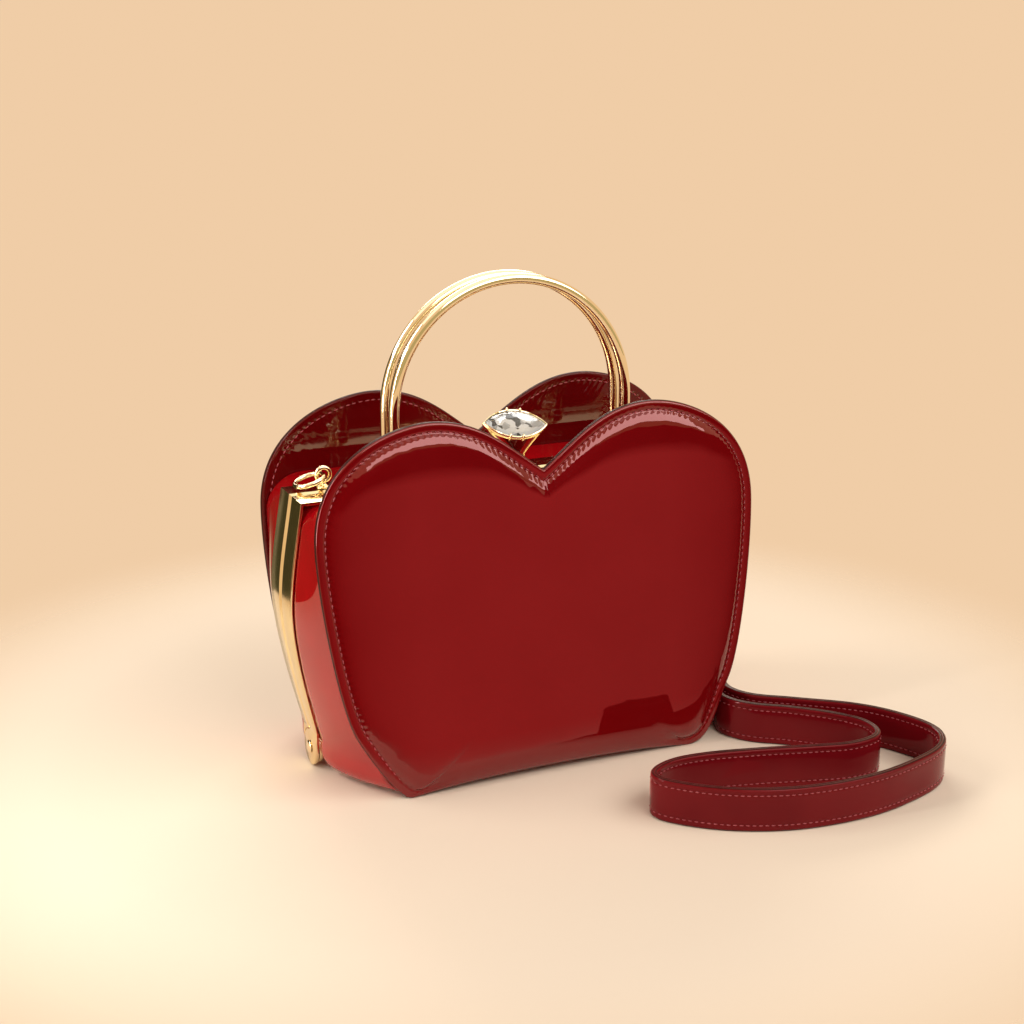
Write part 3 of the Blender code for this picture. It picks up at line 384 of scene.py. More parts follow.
def threadMaterial():
    # twisted thread: fine diagonal bands, painted darker in the grooves between the plies as shade and lighter on
    # their tops as highlight
    material, tree, shader = newMaterial("waxedThread")
    twist = addNode(tree, "TexWave", bands_direction="DIAGONAL", Scale=1400.0, Distortion=1.5, Detail=1.0,
                    Vector=objectSpace(tree)).outputs["Fac"]
    tones = rampColour(tree, twist, (0.0, (0.24, 0.022, 0.028)), (1.0, (0.56, 0.11, 0.125)))
    feedSockets(shader, Base_Color=tones, Roughness=0.38, Normal=bumpNormal(tree, twist, 0.4, 0.0002))
    return material


def suedeMaterial():
    # matt microsuede with brushed light and dark patches and a short nap
    material, tree, shader = newMaterial("microsuede")
    place = objectSpace(tree)
    patches = noiseOver(tree, place, Scale=45.0, Detail=4.0)
    nap = noiseOver(tree, place, Scale=2600.0, Detail=2.0)
    tones = rampColour(tree, patches, (0.35, (0.13, 0.006, 0.010)), (0.68, (0.23, 0.014, 0.020)))
    feedSockets(shader, Base_Color=tones, Roughness=0.92, Sheen_Weight=0.5, Normal=bumpNormal(tree, nap, 0.35, 0.0003))
    return material


def crystalMaterial():
    material, tree, shader = newMaterial("crystal")
    clouds = noiseOver(tree, objectSpace(tree), Scale=320.0, Detail=2.0)
    feedSockets(shader, Base_Color=rampColour(tree, clouds, (0.0, (0.95, 0.96, 0.97)), (1.0, (1, 1, 1))),
                Roughness=0.0, Metallic=0.0, Transmission_Weight=1.0, IOR=1.56)
    return material


def silveredMaterial():
    # the silvered back of the stone, whose small facets are painted as bright and grey cells in a cool tone: painted
    # reflections of the facets
    material, tree, shader = newMaterial("silveredBack")
    cells = addNode(tree, "TexVoronoi", Scale=400.0, Randomness=0.9, Vector=objectSpace(tree)).outputs["Color"]
    shade = addNode(tree, "SeparateColor", Color=cells).outputs["Red"]
    stops = [(place, (0.86 * tone, 0.94 * tone, tone)) for place, tone in ((0.0, 0.12), (0.13, 0.55), (0.30, 1.0))]
    feedSockets(shader, Base_Color=rampColour(tree, shade, *stops, interpolation="CONSTANT"),
                Roughness=0.10, Metallic=0.30, Transmission_Weight=0.0, IOR=1.5)
    return material


edgePaint = edgePaintMaterial()
waxedThread = threadMaterial()
microsuede = suedeMaterial()
crystal = crystalMaterial()
silveredBack = silveredMaterial()
print("materials ready")

# stitches

def stitchMesh(places, length, thickness):
    # each place is (middle, along, out): a plump thread that dives into the leather at both ends
    bm = bmesh.new()
    for middle, along, out in places:
        side = along.cross(out).normalized()
        out = side.cross(along).normalized()
        spin = Matrix((along, side, out)).transposed().to_4x4()
        size = Matrix.Diagonal((length / 2, thickness / 2, thickness / 2, 1))
        bmesh.ops.create_icosphere(bm, subdivisions=1, radius=1.0, matrix=Matrix.Translation(middle) @ spin @ size)
    return meshFrom(bm)


# strap, the one cord

strap = {
    "width": 18 * mm, "thickness": 3 * mm, "gap": 0.3 * mm, "rounding": 0.8 * mm, "crown": 0.25 * mm,
    "stitchPitch": 2.5 * mm, "stitchInset": 2.6 * mm, "stitchLength": 1.85 * mm, "thread": 0.54 * mm,
    "stitchRise": 0.02 * mm, "sewnDip": (0.16 * mm, 0.9 * mm), "pucker": (0.10 * mm, 1.4 * mm),  # depths, widths
    "steps": 900, "length": 0.9613,
    "route": (
        (25, 130), (55, 130), (84, 127), (101, 116), (106.5, 97), (106.5, 70), (105.5, 40), (103, 18), (99.5, 2),
        (94.5, -18), (89, -33), (86, -45),
        (92, -57), (106, -68), (120, -82), (127, -95), (124, -107), (110, -111), (92, -107),
        (68, -100), (44, -95), (28, -96), (18, -104), (24, -116), (42, -130), (66, -139),
        (96, -141), (122, -136), (142, -127), (150, -113), (146, -95), (135, -78), (113, -60),
        (98, -48), (93.5, -36), (98.5, -20), (104.5, 2), (109, 18), (112.5, 40), (114, 70), (115, 97), (111, 120),
        (95, 136), (65, 140), (30, 140), (10, 140)),
}
strapMiddle = strap["gap"] + strap["width"] / 2
strapLine, strapLong = evenLine(
    smoothLine([Vector((x * mm, y * mm, strapMiddle)) for x, y in strap["route"]], 13), strap["steps"])
strapAhead = directions(strapLine)
strapAcross = [Vector((ahead.y, -ahead.x, 0)) for ahead in strapAhead]


def strapSection():
    # half thickness at each height: crowned face, a sewn dip near each edge, rounded corners
    half, top = strap["thickness"] / 2, strap["width"] / 2
    sewn = top - strap["stitchInset"]
    face = []
    deep, wide = strap["sewnDip"]
    above = (0.3, 0.5, 0.62, 0.68, 0.71, 0.74, 0.80, 0.86, 0.91, 0.955, 0.985, 1.0)
    for share in [-share for share in reversed(above)] + [0.0, *above]:
        height = share * top
        edge = (top - abs(height)) / strap["rounding"]
        corner = sqrt(max(0.0, 1 - (1 - min(1.0, edge)) ** 2))
        out = half - strap["rounding"] * (1 - corner)
        out += strap["crown"] * (1 - (height / top) ** 2) * 0.5 - deep * nearTo(abs(height), sewn, wide) ** 2
        face.append((out, height))
    return face + [(-out, height) for out, height in reversed(face)]


section = strapSection()
sewnHeight = strap["width"] / 2 - strap["stitchInset"]
strapRows = []
deep, wide = strap["pucker"]  # deepest at the needle's holes
for k, (point, across) in enumerate(zip(strapLine, strapAcross)):
    walked = strapLong * k / (strap["steps"] - 1)
    pull = 0.5 + 0.5 * cos(2 * pi * walked / strap["stitchPitch"])
    row = []
    for out, up in section:
        sink = deep * pull * nearTo(abs(up), sewnHeight, wide) * (1 if out > 0 else -1)
        row.append(point + across * (out - sink) + Vector((0, 0, up)))
    strapRows.append(row)
strapPiece = addPiece("shoulder_strap", gridMesh(strapRows, caps=True), strapPatent, "front_half",
                      stands=["strap"])

# painted edges: two plies side by side, with a fine groove between them
edgeBead = ((-1.15, -0.5), (-1.12, -0.06), (-0.85, 0.10), (-0.5, 0.12), (-0.2, 0.08), (0.0, -0.06),
            (0.2, 0.08), (0.5, 0.12), (0.85, 0.10), (1.12, -0.06), (1.15, -0.5), (0, -0.55))
edgeMeshes = []
for end in (1, -1):
    edgeMeshes.append(gridMesh([[
        point + across * (out * mm) + Vector((0, 0, end * (strap["width"] / 2 + lift * mm))) for out, lift in edgeBead]
        for point, across in zip(strapLine, strapAcross)], caps=True))
strapEdges = addPiece("shoulder_strap_edge_paint", joinMeshes(edgeMeshes), edgePaint, "front_half")

strapStitches = []
for k in range(int(strapLong / strap["stitchPitch"])):
    share = (k + 0.5) * strap["stitchPitch"] / strapLong * (strap["steps"] - 1)
    index = min(int(share), strap["steps"] - 2)
    point = strapLine[index].lerp(strapLine[index + 1], share - index)
    ahead, across = strapAhead[index], strapAcross[index]
    face = strap["thickness"] / 2 + strap["stitchRise"]
    for up, out in ((1, 1), (1, -1), (-1, 1), (-1, -1)):
        spot = point + across * (out * face) + Vector((0, 0, up * sewnHeight))
        strapStitches.append((spot, ahead, across * out))
strapThread = addPiece("shoulder_strap_stitches", stitchMesh(strapStitches, strap["stitchLength"], strap["thread"]),
                       waxedThread, "front_half")
print("strap", round(strapLong, 4), "m")

# strap loops, snap hooks and rivets

hook = {"gap": 0.4, "loopWire": 1.1, "loopHalfDepth": 4.0, "loopHalfHeight": 7.8, "roundness": 0.6,
        "clawCentre": 12.5, "clawSizes": (7.5, 6.2), "clawAngles": (-0.86 * pi, 0.62 * pi), "clawRoot": (4.6, -0.6),
        "clawWire": 1.35, "gate": ((7.4, 2.2), (8.8, 5.2)), "gateWire": 0.9, "rivetsBack": (7.0, 14.0),
        "rivetFace": 1.45,
        "swivel": ((0, 0), (2.7, 0), (3.0, 0.3), (3.0, 1.3), (2.7, 1.6), (2.1, 1.8), (1.9, 2.2), (1.9, 3.2),
                   (2.2, 3.5), (2.2, 4.0), (1.9, 4.3), (1.9, 5.8), (1.6, 6.0), (0, 6.0)),
        "rivet": ((0, 0), (2.4, 0), (2.5, 0.15), (2.3, 0.45), (1.6, 0.7), (0, 0.8))}


def strapEnd(letter, end, ahead):
    place = Matrix.Translation(end) @ Matrix(((ahead.x, -ahead.y, 0, 0), (ahead.y, ahead.x, 0, 0),
                                              (0, 0, 1, 0), (0, 0, 0, 1))) @ Matrix.Scale(mm, 4)
    loopLine = []
    for k in range(72):
        angle = 2 * pi * k / 72
        bulge = hook["loopHalfDepth"] * abs(cos(angle)) ** hook["roundness"] * (1 if cos(angle) > 0 else -1)
        loopLine.append(Vector((hook["gap"] + hook["loopWire"] + hook["loopHalfDepth"] + bulge, 0,
                                hook["loopHalfHeight"] * sin(angle))))
    loop = tubeMesh(loopLine, hook["loopWire"], 16, closed=True)
    loop.transform(place)

    start = 2 * (hook["gap"] + hook["loopWire"] + hook["loopHalfDepth"])
    lie = place @ Matrix.Translation((start, 0, 0)) @ Matrix.Rotation(pi / 2, 4, "Y")
    swivel = turnedMesh(hook["swivel"], lie, 40)
    claw = [Vector((start + hook["clawRoot"][0], 0, hook["clawRoot"][1]))]
    for k in range(49):
        angle = mix(*hook["clawAngles"], k / 48)
        claw.append(Vector((start + hook["clawCentre"] + hook["clawSizes"][0] * cos(angle), 0,
                            hook["clawSizes"][1] * sin(angle))))
    clawMesh = tubeMesh(claw, hook["clawWire"], 20, taper=((0, 1.0), (0.5, 1.12), (0.9, 0.95), (0.97, 0.8), (1, 0.45)))
    clawMesh.transform(place)
    (x0, z0), (x1, z1) = hook["gate"]
    bar = [Vector((start + mix(x0, x1, k / 12), 0, mix(z0, z1, k / 12))) for k in range(13)]
    gate = tubeMesh(bar, hook["gateWire"], 16, taper=((0, 0.6), (0.1, 1.0), (0.9, 1.0), (1, 0.6)))
    gate.transform(place)

    # two rivets hold the folded end of the strap
    studs = []
    for back in hook["rivetsBack"]:
        for face in (1, -1):
            turn = Matrix.Translation((-back, face * hook["rivetFace"], 0)) @ Matrix.Rotation(-face * pi / 2, 4, "X")
            studs.append(turnedMesh(hook["rivet"], place @ turn, 28))
    return [addGold(f"strap_end_loop_{letter}", loop, "front_half", f"strap_loop_{letter}"),
            addGold(f"snap_hook_{letter}", joinMeshes([swivel, clawMesh]), "front_half", f"strap_hook_{letter}"),
            addGold(f"snap_hook_gate_{letter}", gate, "front_half", f"strap_gate_{letter}"),
            addGold(f"strap_end_rivets_{letter}", joinMeshes(studs), "front_half")]


strapPieces = strapEnd("a", strapLine[0], -strapAhead[0]) + strapEnd("b", strapLine[-1], strapAhead[-1])
print("strap ends ready")

# heart outline

heart = {"halfWidth": 100.0, "notch": 130.0, "lobe": 154.2, "lobeX": 50.0, "widest": 108.0, "knee": (87.0, 28.0),
         "kneeAngle": 62.0, "kneeReaches": (14.0, 9.0), "footX": 65.0, "footReach": 6.0,
         "roundedCorner": (15.0, 13.0),  # the knee's lower reach and the foot's at the right, where it is rounder
         "arch": 3.0, "board": 3.0, "depthAtNotch": 37.0, "depthAtFoot": 50.0}


def bezierPart(start, leadIn, leadOut, end, count):
    return interpolate_bezier(*[Vector((x, 0, z)) for x, z in (start, leadIn, leadOut, end)], count + 1)


def heartHalf(below, footReach):
    # half the outline from the notch to the middle of the foot, and its side alone
    h = heart
    notch, lobe, widest = (0, h["notch"]), (h["lobeX"], h["lobe"]), (h["halfWidth"], h["widest"])
    corner, arch = (h["footX"], 0), (0, h["arch"])
    first = bezierPart(notch, (0.29 * h["lobeX"], mix(h["notch"], h["lobe"], 0.43)),
                       (0.56 * h["lobeX"], h["lobe"]), lobe, 60)
    second = bezierPart(lobe, (mix(h["lobeX"], h["halfWidth"], 0.32), h["lobe"]),
                        (h["halfWidth"], mix(h["widest"], h["lobe"], 0.78)), widest, 80)
    (kneeX, kneeZ), above = h["knee"], h["kneeReaches"][0]
    lean = Vector((cos(radians(h["kneeAngle"])), sin(radians(h["kneeAngle"]))))
    third = bezierPart(widest, (h["halfWidth"], 0.8 * h["widest"]),
                       (kneeX + above * lean.x, kneeZ + above * lean.y), h["knee"], 70)
    third = third[:-1] + bezierPart(h["knee"], (kneeX - below * lean.x, kneeZ - below * lean.y),
                                    (h["footX"] + footReach, 0), corner, 50)
    fourth = bezierPart(corner, (0.66 * h["footX"], 0.8 * h["arch"]), (0.33 * h["footX"], h["arch"]), arch, 60)
    return first[:-1] + second[:-1] + third[:-1] + fourth, second[:-1] + third


heartLeft, heartSide = heartHalf(heart["kneeReaches"][1], heart["footReach"])
heartRight = heartHalf(*heart["roundedCorner"])[0]
heartSide = [(point.x, point.z) for point in heartSide]


def halfDepth(height):
    return mix(heart["depthAtNotch"], heart["depthAtFoot"], (heart["notch"] - height) / heart["notch"])


def onSide(spot, side, lift):
    # a point (x, z) in millimetres set on the front or back half, lifted outwards from the board's outer face
    return Vector((spot.x, side * (halfDepth(spot.z) + lift), spot.z)) * mm


def sideX(points, height):
    # reads a side curve, whose points run downwards, at one height
    for (x0, z0), (x1, z1) in zip(points, points[1:]):
        if z0 >= height >= z1:
            return mix(x0, x1, (z0 - height) / (z0 - z1))
    return points[0][0] if height > points[0][1] else points[-1][0]


# panels

panel = {
    "around": 1180, "pitch": 3.0, "stitchInset": 3.7, "stitchLength": 2.25, "thread": 0.62, "middle": 58.5,
    "wobble": 0.11, "pucker": 0.30, "backPucker": 0.22, "flare": (2.2, 48.0), "crown": (3.55, 3.38),
    # rise of the padding at each distance from the edge, at the sewn sides and at the folded foot
    "sewnRise": ((0, -0.62), (0.3, -0.26), (0.7, -0.05), (1.1, 0.03), (1.8, 0.06), (2.9, 0.0), (3.4, -0.22),
                 (3.8, -0.30), (4.2, -0.08), (5.0, 0.55), (6.0, 1.18), (7.2, 1.78), (8.6, 2.30), (10.5, 2.76),
                 (13, 3.08), (16, 3.26), (20, 3.36), (26, 3.4)),
    "footRise": ((0, -0.9), (0.25, -0.35), (0.6, 0.1), (1.2, 0.62), (2.0, 1.10), (3.0, 1.55), (4.2, 1.95), (6.0, 2.40),
                 (8.6, 2.82), (12, 3.10), (16, 3.26), (20, 3.36), (26, 3.4)),
    "distances": (0.0, 0.12, 0.3, 0.6, 1.1, 1.8, 2.5, 2.95, 3.25, 3.5, 3.75, 4.0, 4.3, 4.65, 5.1, 5.6, 6.2, 6.9,
                  7.7, 8.6, 9.6, 10.7, 12.0, 13.5, 15.2, 17.2, 19.6, 22.5),
    "backDistances": (13.0, 9.0, 7.0, 5.5, 4.6, 4.0, 3.7, 3.4, 2.8, 2.0, 1.2, 0.6, 0.3, 0.12, 0.0),
    "backRounding": ((0, 0.5), (0.12, 0.28), (0.3, 0.12), (0.6, 0.0)),
    # the painted edge's two beads, as (place across the board, height over its rim)
    "bead": ((-0.55, -0.10), (-0.75, 0.16), (-1.1, 0.24), (-1.4, 0.16), (-1.52, 0.02), (-1.64, 0.16), (-1.95, 0.24),
             (-2.3, 0.16), (-2.5, -0.10), (-1.5, -0.3)),
}
heartLine = heartRight + [Vector((-p.x, 0, p.z)) for p in reversed(heartLeft[1:-1])]
heartLine, heartLong = evenLine(heartLine, panel["around"], closed=True)
heartAhead = directions(heartLine, closed=True)
heartAim = []
for point, ahead in zip(heartLine, heartAhead):
    aim = (Vector((0, 0, panel["middle"])) - point).normalized()
    inward = Vector((-ahead.z, 0, ahead.x))
    inward = inward if inward.dot(aim) > 0 else -inward
    heartAim.append((aim, max(0.62, aim.dot(inward))))


def footShare(point):
    # 1 on the folded foot, 0 on the sewn sides
    return ease((heart["footX"] + 6.0 - abs(point.x)) / 20.0) if point.z < 12 else 0.0


def flareAt(height):
    # the face turns outwards a little towards the foot
    most, reach = panel["flare"]
    return most * clamp(1 - height / reach) ** 2


def stitchPull(index):
    # 1 at the needle's holes and 0 in the middle of each stitch
    return 0.5 + 0.5 * cos(2 * pi * heartLong * index / panel["around"] / panel["pitch"])


def faceRise(index, distance):
    point = heartLine[index]
    foot = footShare(point)
    rise = mix(alongTable(panel["sewnRise"], distance), alongTable(panel["footRise"], distance), foot)
    near = nearTo(distance, panel["stitchInset"] + 0.7, 2.3)
    rise -= (1 - foot) * panel["pucker"] * stitchPull(index) * near * near
    wander = (noise.noise(Vector((point.x, point.z, 0)) * 0.085)
              + 0.5 * noise.noise(Vector((point.z, point.x, 9)) * 0.21))
    return rise + panel["wobble"] * 2.2 * wander * nearTo(distance, 8.0, 7.0) * (1 - 0.6 * foot)


def panelPoint(index, distance, lift, side, flared=0.0):
    point = heartLine[index]
    aim, lean = heartAim[index]
    spot = point + aim * (distance / lean)
    return onSide(spot, side, lift + flared * flareAt(spot.z))


def makePanel(name, side, body):
    around = range(panel["around"])
    board = -heart["board"]
    middle = Vector((0, 0, panel["middle"]))
    rows = [[onSide(middle.lerp(point, share), side, board) for point in heartLine]
            for share in (0.0, 0.25, 0.5, 0.75)]
    for distance in panel["backDistances"]:
        base = board + alongTable(panel["backRounding"], distance)
        sewn = panel["backPucker"] * nearTo(distance, panel["stitchInset"], 1.6)
        crease = 0.10 * nearTo(distance, 5.5, 5.0)
        drift = Vector((0, distance * 0.35, 3))
        lifts = [base + sewn * stitchPull(k) + crease * noise.noise(heartLine[k] * 0.5 + drift) for k in around]
        rows.append([panelPoint(k, distance, lifts[k], side) for k in around])
    for distance in panel["distances"]:
        row = [panelPoint(k, distance, faceRise(k, distance), side, ease(distance / 12.0)) for k in around]
        # each row is evened out along its length, so that the corners of the outline die away inwards
        reach = round(0.6 * max(0.0, distance - 6.0))
        rows.append([sum((row[(k + step) % len(row)] for step in range(-reach, reach + 1)), Vector()) / (2 * reach + 1)
                     for k in around])
    lastRow = [Vector((spot.x, 0, spot.z)) / mm for spot in rows[-1]]
    for share in (0.82, 0.62, 0.4, 0.2, 0.0):
        spots = [middle.lerp(flat, share) for flat in lastRow]
        rows.append([onSide(spot, side, mix(*panel["crown"], share) + flareAt(spot.z)) for spot in spots])
    mesh = gridMesh(rows, inside=Vector((0, side * 40 * mm, 60 * mm)))
    leather = addPiece(f"{name}_leather", mesh, panelPatent, body, stands=[name])
    # the inner face and the first of its rim take the darker copy of the patent: painted shade
    leather.data.materials.append(shadedInnerPatent)
    for face in leather.data.polygons:
        depth = side * face.center.y / mm - halfDepth(face.center.z / mm)
        face.material_index = 1 if depth < board + 0.4 else 0  # the inner face and the first of its rim

    # painted edge in two beads, from foot to foot over the lobes
    sewn = [k for k in around if footShare(heartLine[k]) < 0.5 or heartLine[k].z > 12]
    start = next(k for k in sewn if (k - 1) % panel["around"] not in sewn and k in sewn and heartLine[k].x < 0)
    order = [(start + step) % panel["around"] for step in range(len(sewn))]
    beadRows = []
    for step, k in enumerate(order):
        point, aim = heartLine[k], heartAim[k][0]
        outward = Vector((heartAhead[k].z, 0, -heartAhead[k].x))
        outward = outward if outward.dot(aim) < 0 else -outward
        fade = ease(min(step, len(order) - 1 - step) / 12)
        beadRows.append([onSide(point + outward * mix(-0.3, out, fade), side, lift) for lift, out in panel["bead"]])
    addPiece(f"{name}_edge_paint", gridMesh(beadRows, caps=True), edgePaint, body)

    places = []
    for number in range(int(heartLong / panel["pitch"])):
        share = (number + 0.5) * panel["pitch"] / heartLong * panel["around"]
        k = int(share) % panel["around"]
        if footShare(heartLine[k]) > 0.05:
            continue
        ahead = heartAhead[k]
        for lift, out in ((alongTable(panel["sewnRise"], panel["stitchInset"]) + 0.10, side), (board + 0.02, -side)):
            places.append((panelPoint(k, panel["stitchInset"], lift, side), Vector((ahead.x, 0, ahead.z)).normalized(),
                           Vector((0, out, 0))))
    threads = stitchMesh(places, panel["stitchLength"] * mm, panel["thread"] * mm)
    addPiece(f"{name}_stitches", threads, waxedThread, body)


makePanel("front_panel", -1, "front_half")
makePanel("back_panel", 1, "back_half")
print("panels ready")

# gussets and linings

frameBar = {"height": 121.2, "cornerX": 98.0, "widestX": 104.0, "widestHeight": 76.0, "footX": 93.45, "legEnd": 16.6,
            "plateX": 93.5, "bandTop": 14.0, "bandFoot": 8.5, "taperFrom": 85.0, "sheet": 1.4, "splitGap": 0.15,
            "bevel": 1.9, "bevelDrop": 1.0, "channel": 5.7, "lip": 6.0, "lugRim": 0.18, "barTop": 121.5, "pinZ": 8.3}


def frameHalf():
    # the frame's outline from the middle of its top to its right foot, and its side alone
    f = frameBar
    corner, widest, foot = (f["cornerX"], f["height"]), (f["widestX"], f["widestHeight"]), (f["footX"], f["legEnd"])
    upper = bezierPart(corner, (mix(corner[0], widest[0], 0.39), mix(corner[1], widest[1], 0.34)),
                       (widest[0], mix(widest[1], corner[1], 0.31)), widest, 36)
    lower = bezierPart(widest, (widest[0], 0.76 * widest[1]),
                       (mix(foot[0], widest[0], 0.36), mix(foot[1], widest[1], 0.26)), foot, 48)
    leg = upper[:-1] + lower
    return [Vector((corner[0] * k / 24, 0, corner[1])) for k in range(24)] + leg, [(p.x, p.z) for p in leg]


frameRight, frameSide = frameHalf()

wall = {"inset": 1.7, "footInset": 5.0, "growth": (38.0, 23.0), "flange": 1.8, "fullness": (1.5, 2.1),
        "bandInset": 0.9, "bandGap": 0.5, "steps": (0.0, 0.14, 0.38, 0.7, 1.0), "radii": (3.0, 3.0, 12.0, 14.5, 16.0),
        "liningRadii": (7.0, 7.0, 12.0, 14.5, 16.0), "footRadii": (7.8, 13.0), "topRise": 2.2, "footRise": 7.4,
        "floor": 1.2, "keel": 14.0, "seamGap": 0.4, "seamTop": 13.5, "channelStart": 16.2, "channelFloor": 2.35,
        "thickness": 1.8, "panelGap": 0.1, "lining": 0.8, "liningGap": 0.6, "liningPast": 2.0, "lipPast": 0.3,
        "middle": 66.0, "floorMiddle": 60.6}


def bandWidth(height):
    share = clamp((frameBar["taperFrom"] - height) / (frameBar["taperFrom"] - frameBar["legEnd"]))
    return mix(frameBar["bandTop"], frameBar["bandFoot"], share)


def wallLine(step, radius, drawIn):
    # one line round the half shell, clockwise from the top, as (x, z)
    w, f = wall, frameBar
    pastBand = clamp((step - w["steps"][2]) / (1 - w["steps"][2]))
    top = f["height"] - w["inset"] + w["topRise"] * pastBand

    def edgeX(height):
        # under the band, then out beside its edge, then full and round towards the panel
        foot = clamp((w["growth"][0] - height) / (w["growth"][0] - w["growth"][1]))
        deep = halfDepth(height) - heart["board"] - w["channelFloor"]
        start = (bandWidth(height) + w["bandGap"] - w["channelFloor"]) / deep
        past = clamp((step - start) / (1 - start))
        under = mix(w["inset"], w["footInset"], foot)
        near = sideX(frameSide, height) - mix(under, w["bandInset"], ease(past / 0.11))
        far = sideX(heartSide, height) - w["flange"]
        return mix(near, far, past ** mix(*w["fullness"], clamp(1 - height / 70)))

    depth = step * (heart["depthAtFoot"] - heart["board"])
    floor = w["floor"] + w["footRise"] * clamp(1 - depth / w["keel"])
    heel = mix(*w["footRadii"], step)
    shoulderZ, heelZ = top - radius, floor + heel
    shoulderX, heelX = edgeX(shoulderZ) - radius, edgeX(heelZ) - heel
    quarter = [(sin(pi / 2 * k / 12), cos(pi / 2 * k / 12)) for k in range(13)]
    half = [(shoulderX * k / 16, top) for k in range(16)]
    half += [(shoulderX + radius * sine, shoulderZ + radius * cosine) for sine, cosine in quarter]
    half += [(edgeX(height), height) for height in [mix(shoulderZ, heelZ, k / 40) for k in range(1, 40)]]
    half += [(heelX + heel * cosine, heelZ - heel * sine) for sine, cosine in quarter]
    half += [(heelX * share, floor + heart["arch"] * step * (1 - share ** 2))
             for share in [1 - k / 16 for k in range(1, 17)]]
    outline = [Vector((x, 0, z)) for x, z in half + [(-x, z) for x, z in reversed(half[1:-1])]]
    return [point + Vector((ahead.z, 0, -ahead.x)) * drawIn
            for point, ahead in zip(outline, directions(outline, closed=True))]


def wallRows(side, steps, radii, drawIns, endGap):
    rows = []
    for step in steps:
        radius = alongTable(tuple(zip(wall["steps"], radii)), step)
        drawIn = alongTable(tuple(zip(wall["steps"], drawIns)), step)
        row = []
        for point in wallLine(step, radius, drawIn):
            inChannel = clamp((point.z - wall["seamTop"]) / (wall["channelStart"] - wall["seamTop"]))
            start = mix(wall["seamGap"], wall["channelFloor"], inChannel)
            end = halfDepth(point.z) - heart["board"] - endGap
            row.append(Vector((point.x, side * mix(start, end, step), point.z)) * mm)
        rows.append(row)
    return rows


fineSteps = [0.0, 0.07, 0.14] + [0.14 + 0.86 * k / 22 for k in range(1, 23)]


def addSkin(name, rows, material, body, node, thickness):
    mesh = gridMesh(rows, inside=Vector((0, 0, wall["middle"] * mm)))
    modifier = addPiece(name, mesh, material, body, [node]).modifiers.new("thickness", "SOLIDIFY")
    modifier.thickness = thickness * mm
    modifier.offset = -1


def makeShell(prefix, side, body):
    w = wall
    rows = wallRows(side, fineSteps, w["radii"], (0,) * 5, w["panelGap"])
    addSkin(f"{prefix}_gusset_leather", rows, gussetPatent, body, f"{prefix}_gusset", w["thickness"])
    pastLip = frameBar["channel"] - w["inset"] + w["lipPast"]
    pastWall = w["liningPast"] + w["liningGap"]
    rows = wallRows(side, fineSteps, w["liningRadii"], (pastLip,) * 2 + (pastWall,) * 3, w["liningGap"])
    last, middle = rows[-1], onSide(Vector((0, 0, w["floorMiddle"])), side, -heart["board"] - w["liningGap"])
    rows += [[middle.lerp(point, share) for point in last] for share in (0.8, 0.6, 0.4, 0.2, 0.0)]
    addSkin(f"{prefix}_lining_suede", rows, microsuede, body, f"{prefix}_lining", w["lining"])


makeShell("front", -1, "front_half")
makeShell("back", 1, "back_half")
print("gussets and linings ready")

# gold frame

def insetPath(path, distance):
    # moves an open clockwise line inwards, mitred at its corners
    moved = []
    for k, point in enumerate(path):
        arms = []
        if k:
            arms.append((point - path[k - 1]).normalized())
        if k < len(path) - 1:
            arms.append((path[k + 1] - point).normalized())
        normals = [Vector((arm.z, 0, -arm.x)) for arm in arms]
        mean = sum(normals, Vector()).normalized()
        moved.append(point + mean * (distance / mean.dot(normals[0])))
    return moved


def lugPlate(outline, inner, outer):
    # a flat plate of an outline of (y, z), with softened rims
    bm = bmesh.new()
    plate = bm.faces.new([bm.verts.new((inner * mm, y * mm, z * mm)) for y, z in outline])
    out = bmesh.ops.extrude_face_region(bm, geom=[plate])
    moved = [item for item in out["geom"] if isinstance(item, bmesh.types.BMVert)]
    bmesh.ops.translate(bm, vec=((outer - inner) * mm, 0, 0), verts=moved)
    bmesh.ops.recalc_face_normals(bm, faces=bm.faces)
    rims = [edge for edge in bm.edges if edge.calc_face_angle(0) > radians(60)]
    bmesh.ops.bevel(bm, geom=rims, offset=frameBar["lugRim"] * mm, affect="EDGES", segments=2, profile=0.5,
                    material=-1)
    return meshFrom(bm, 30)


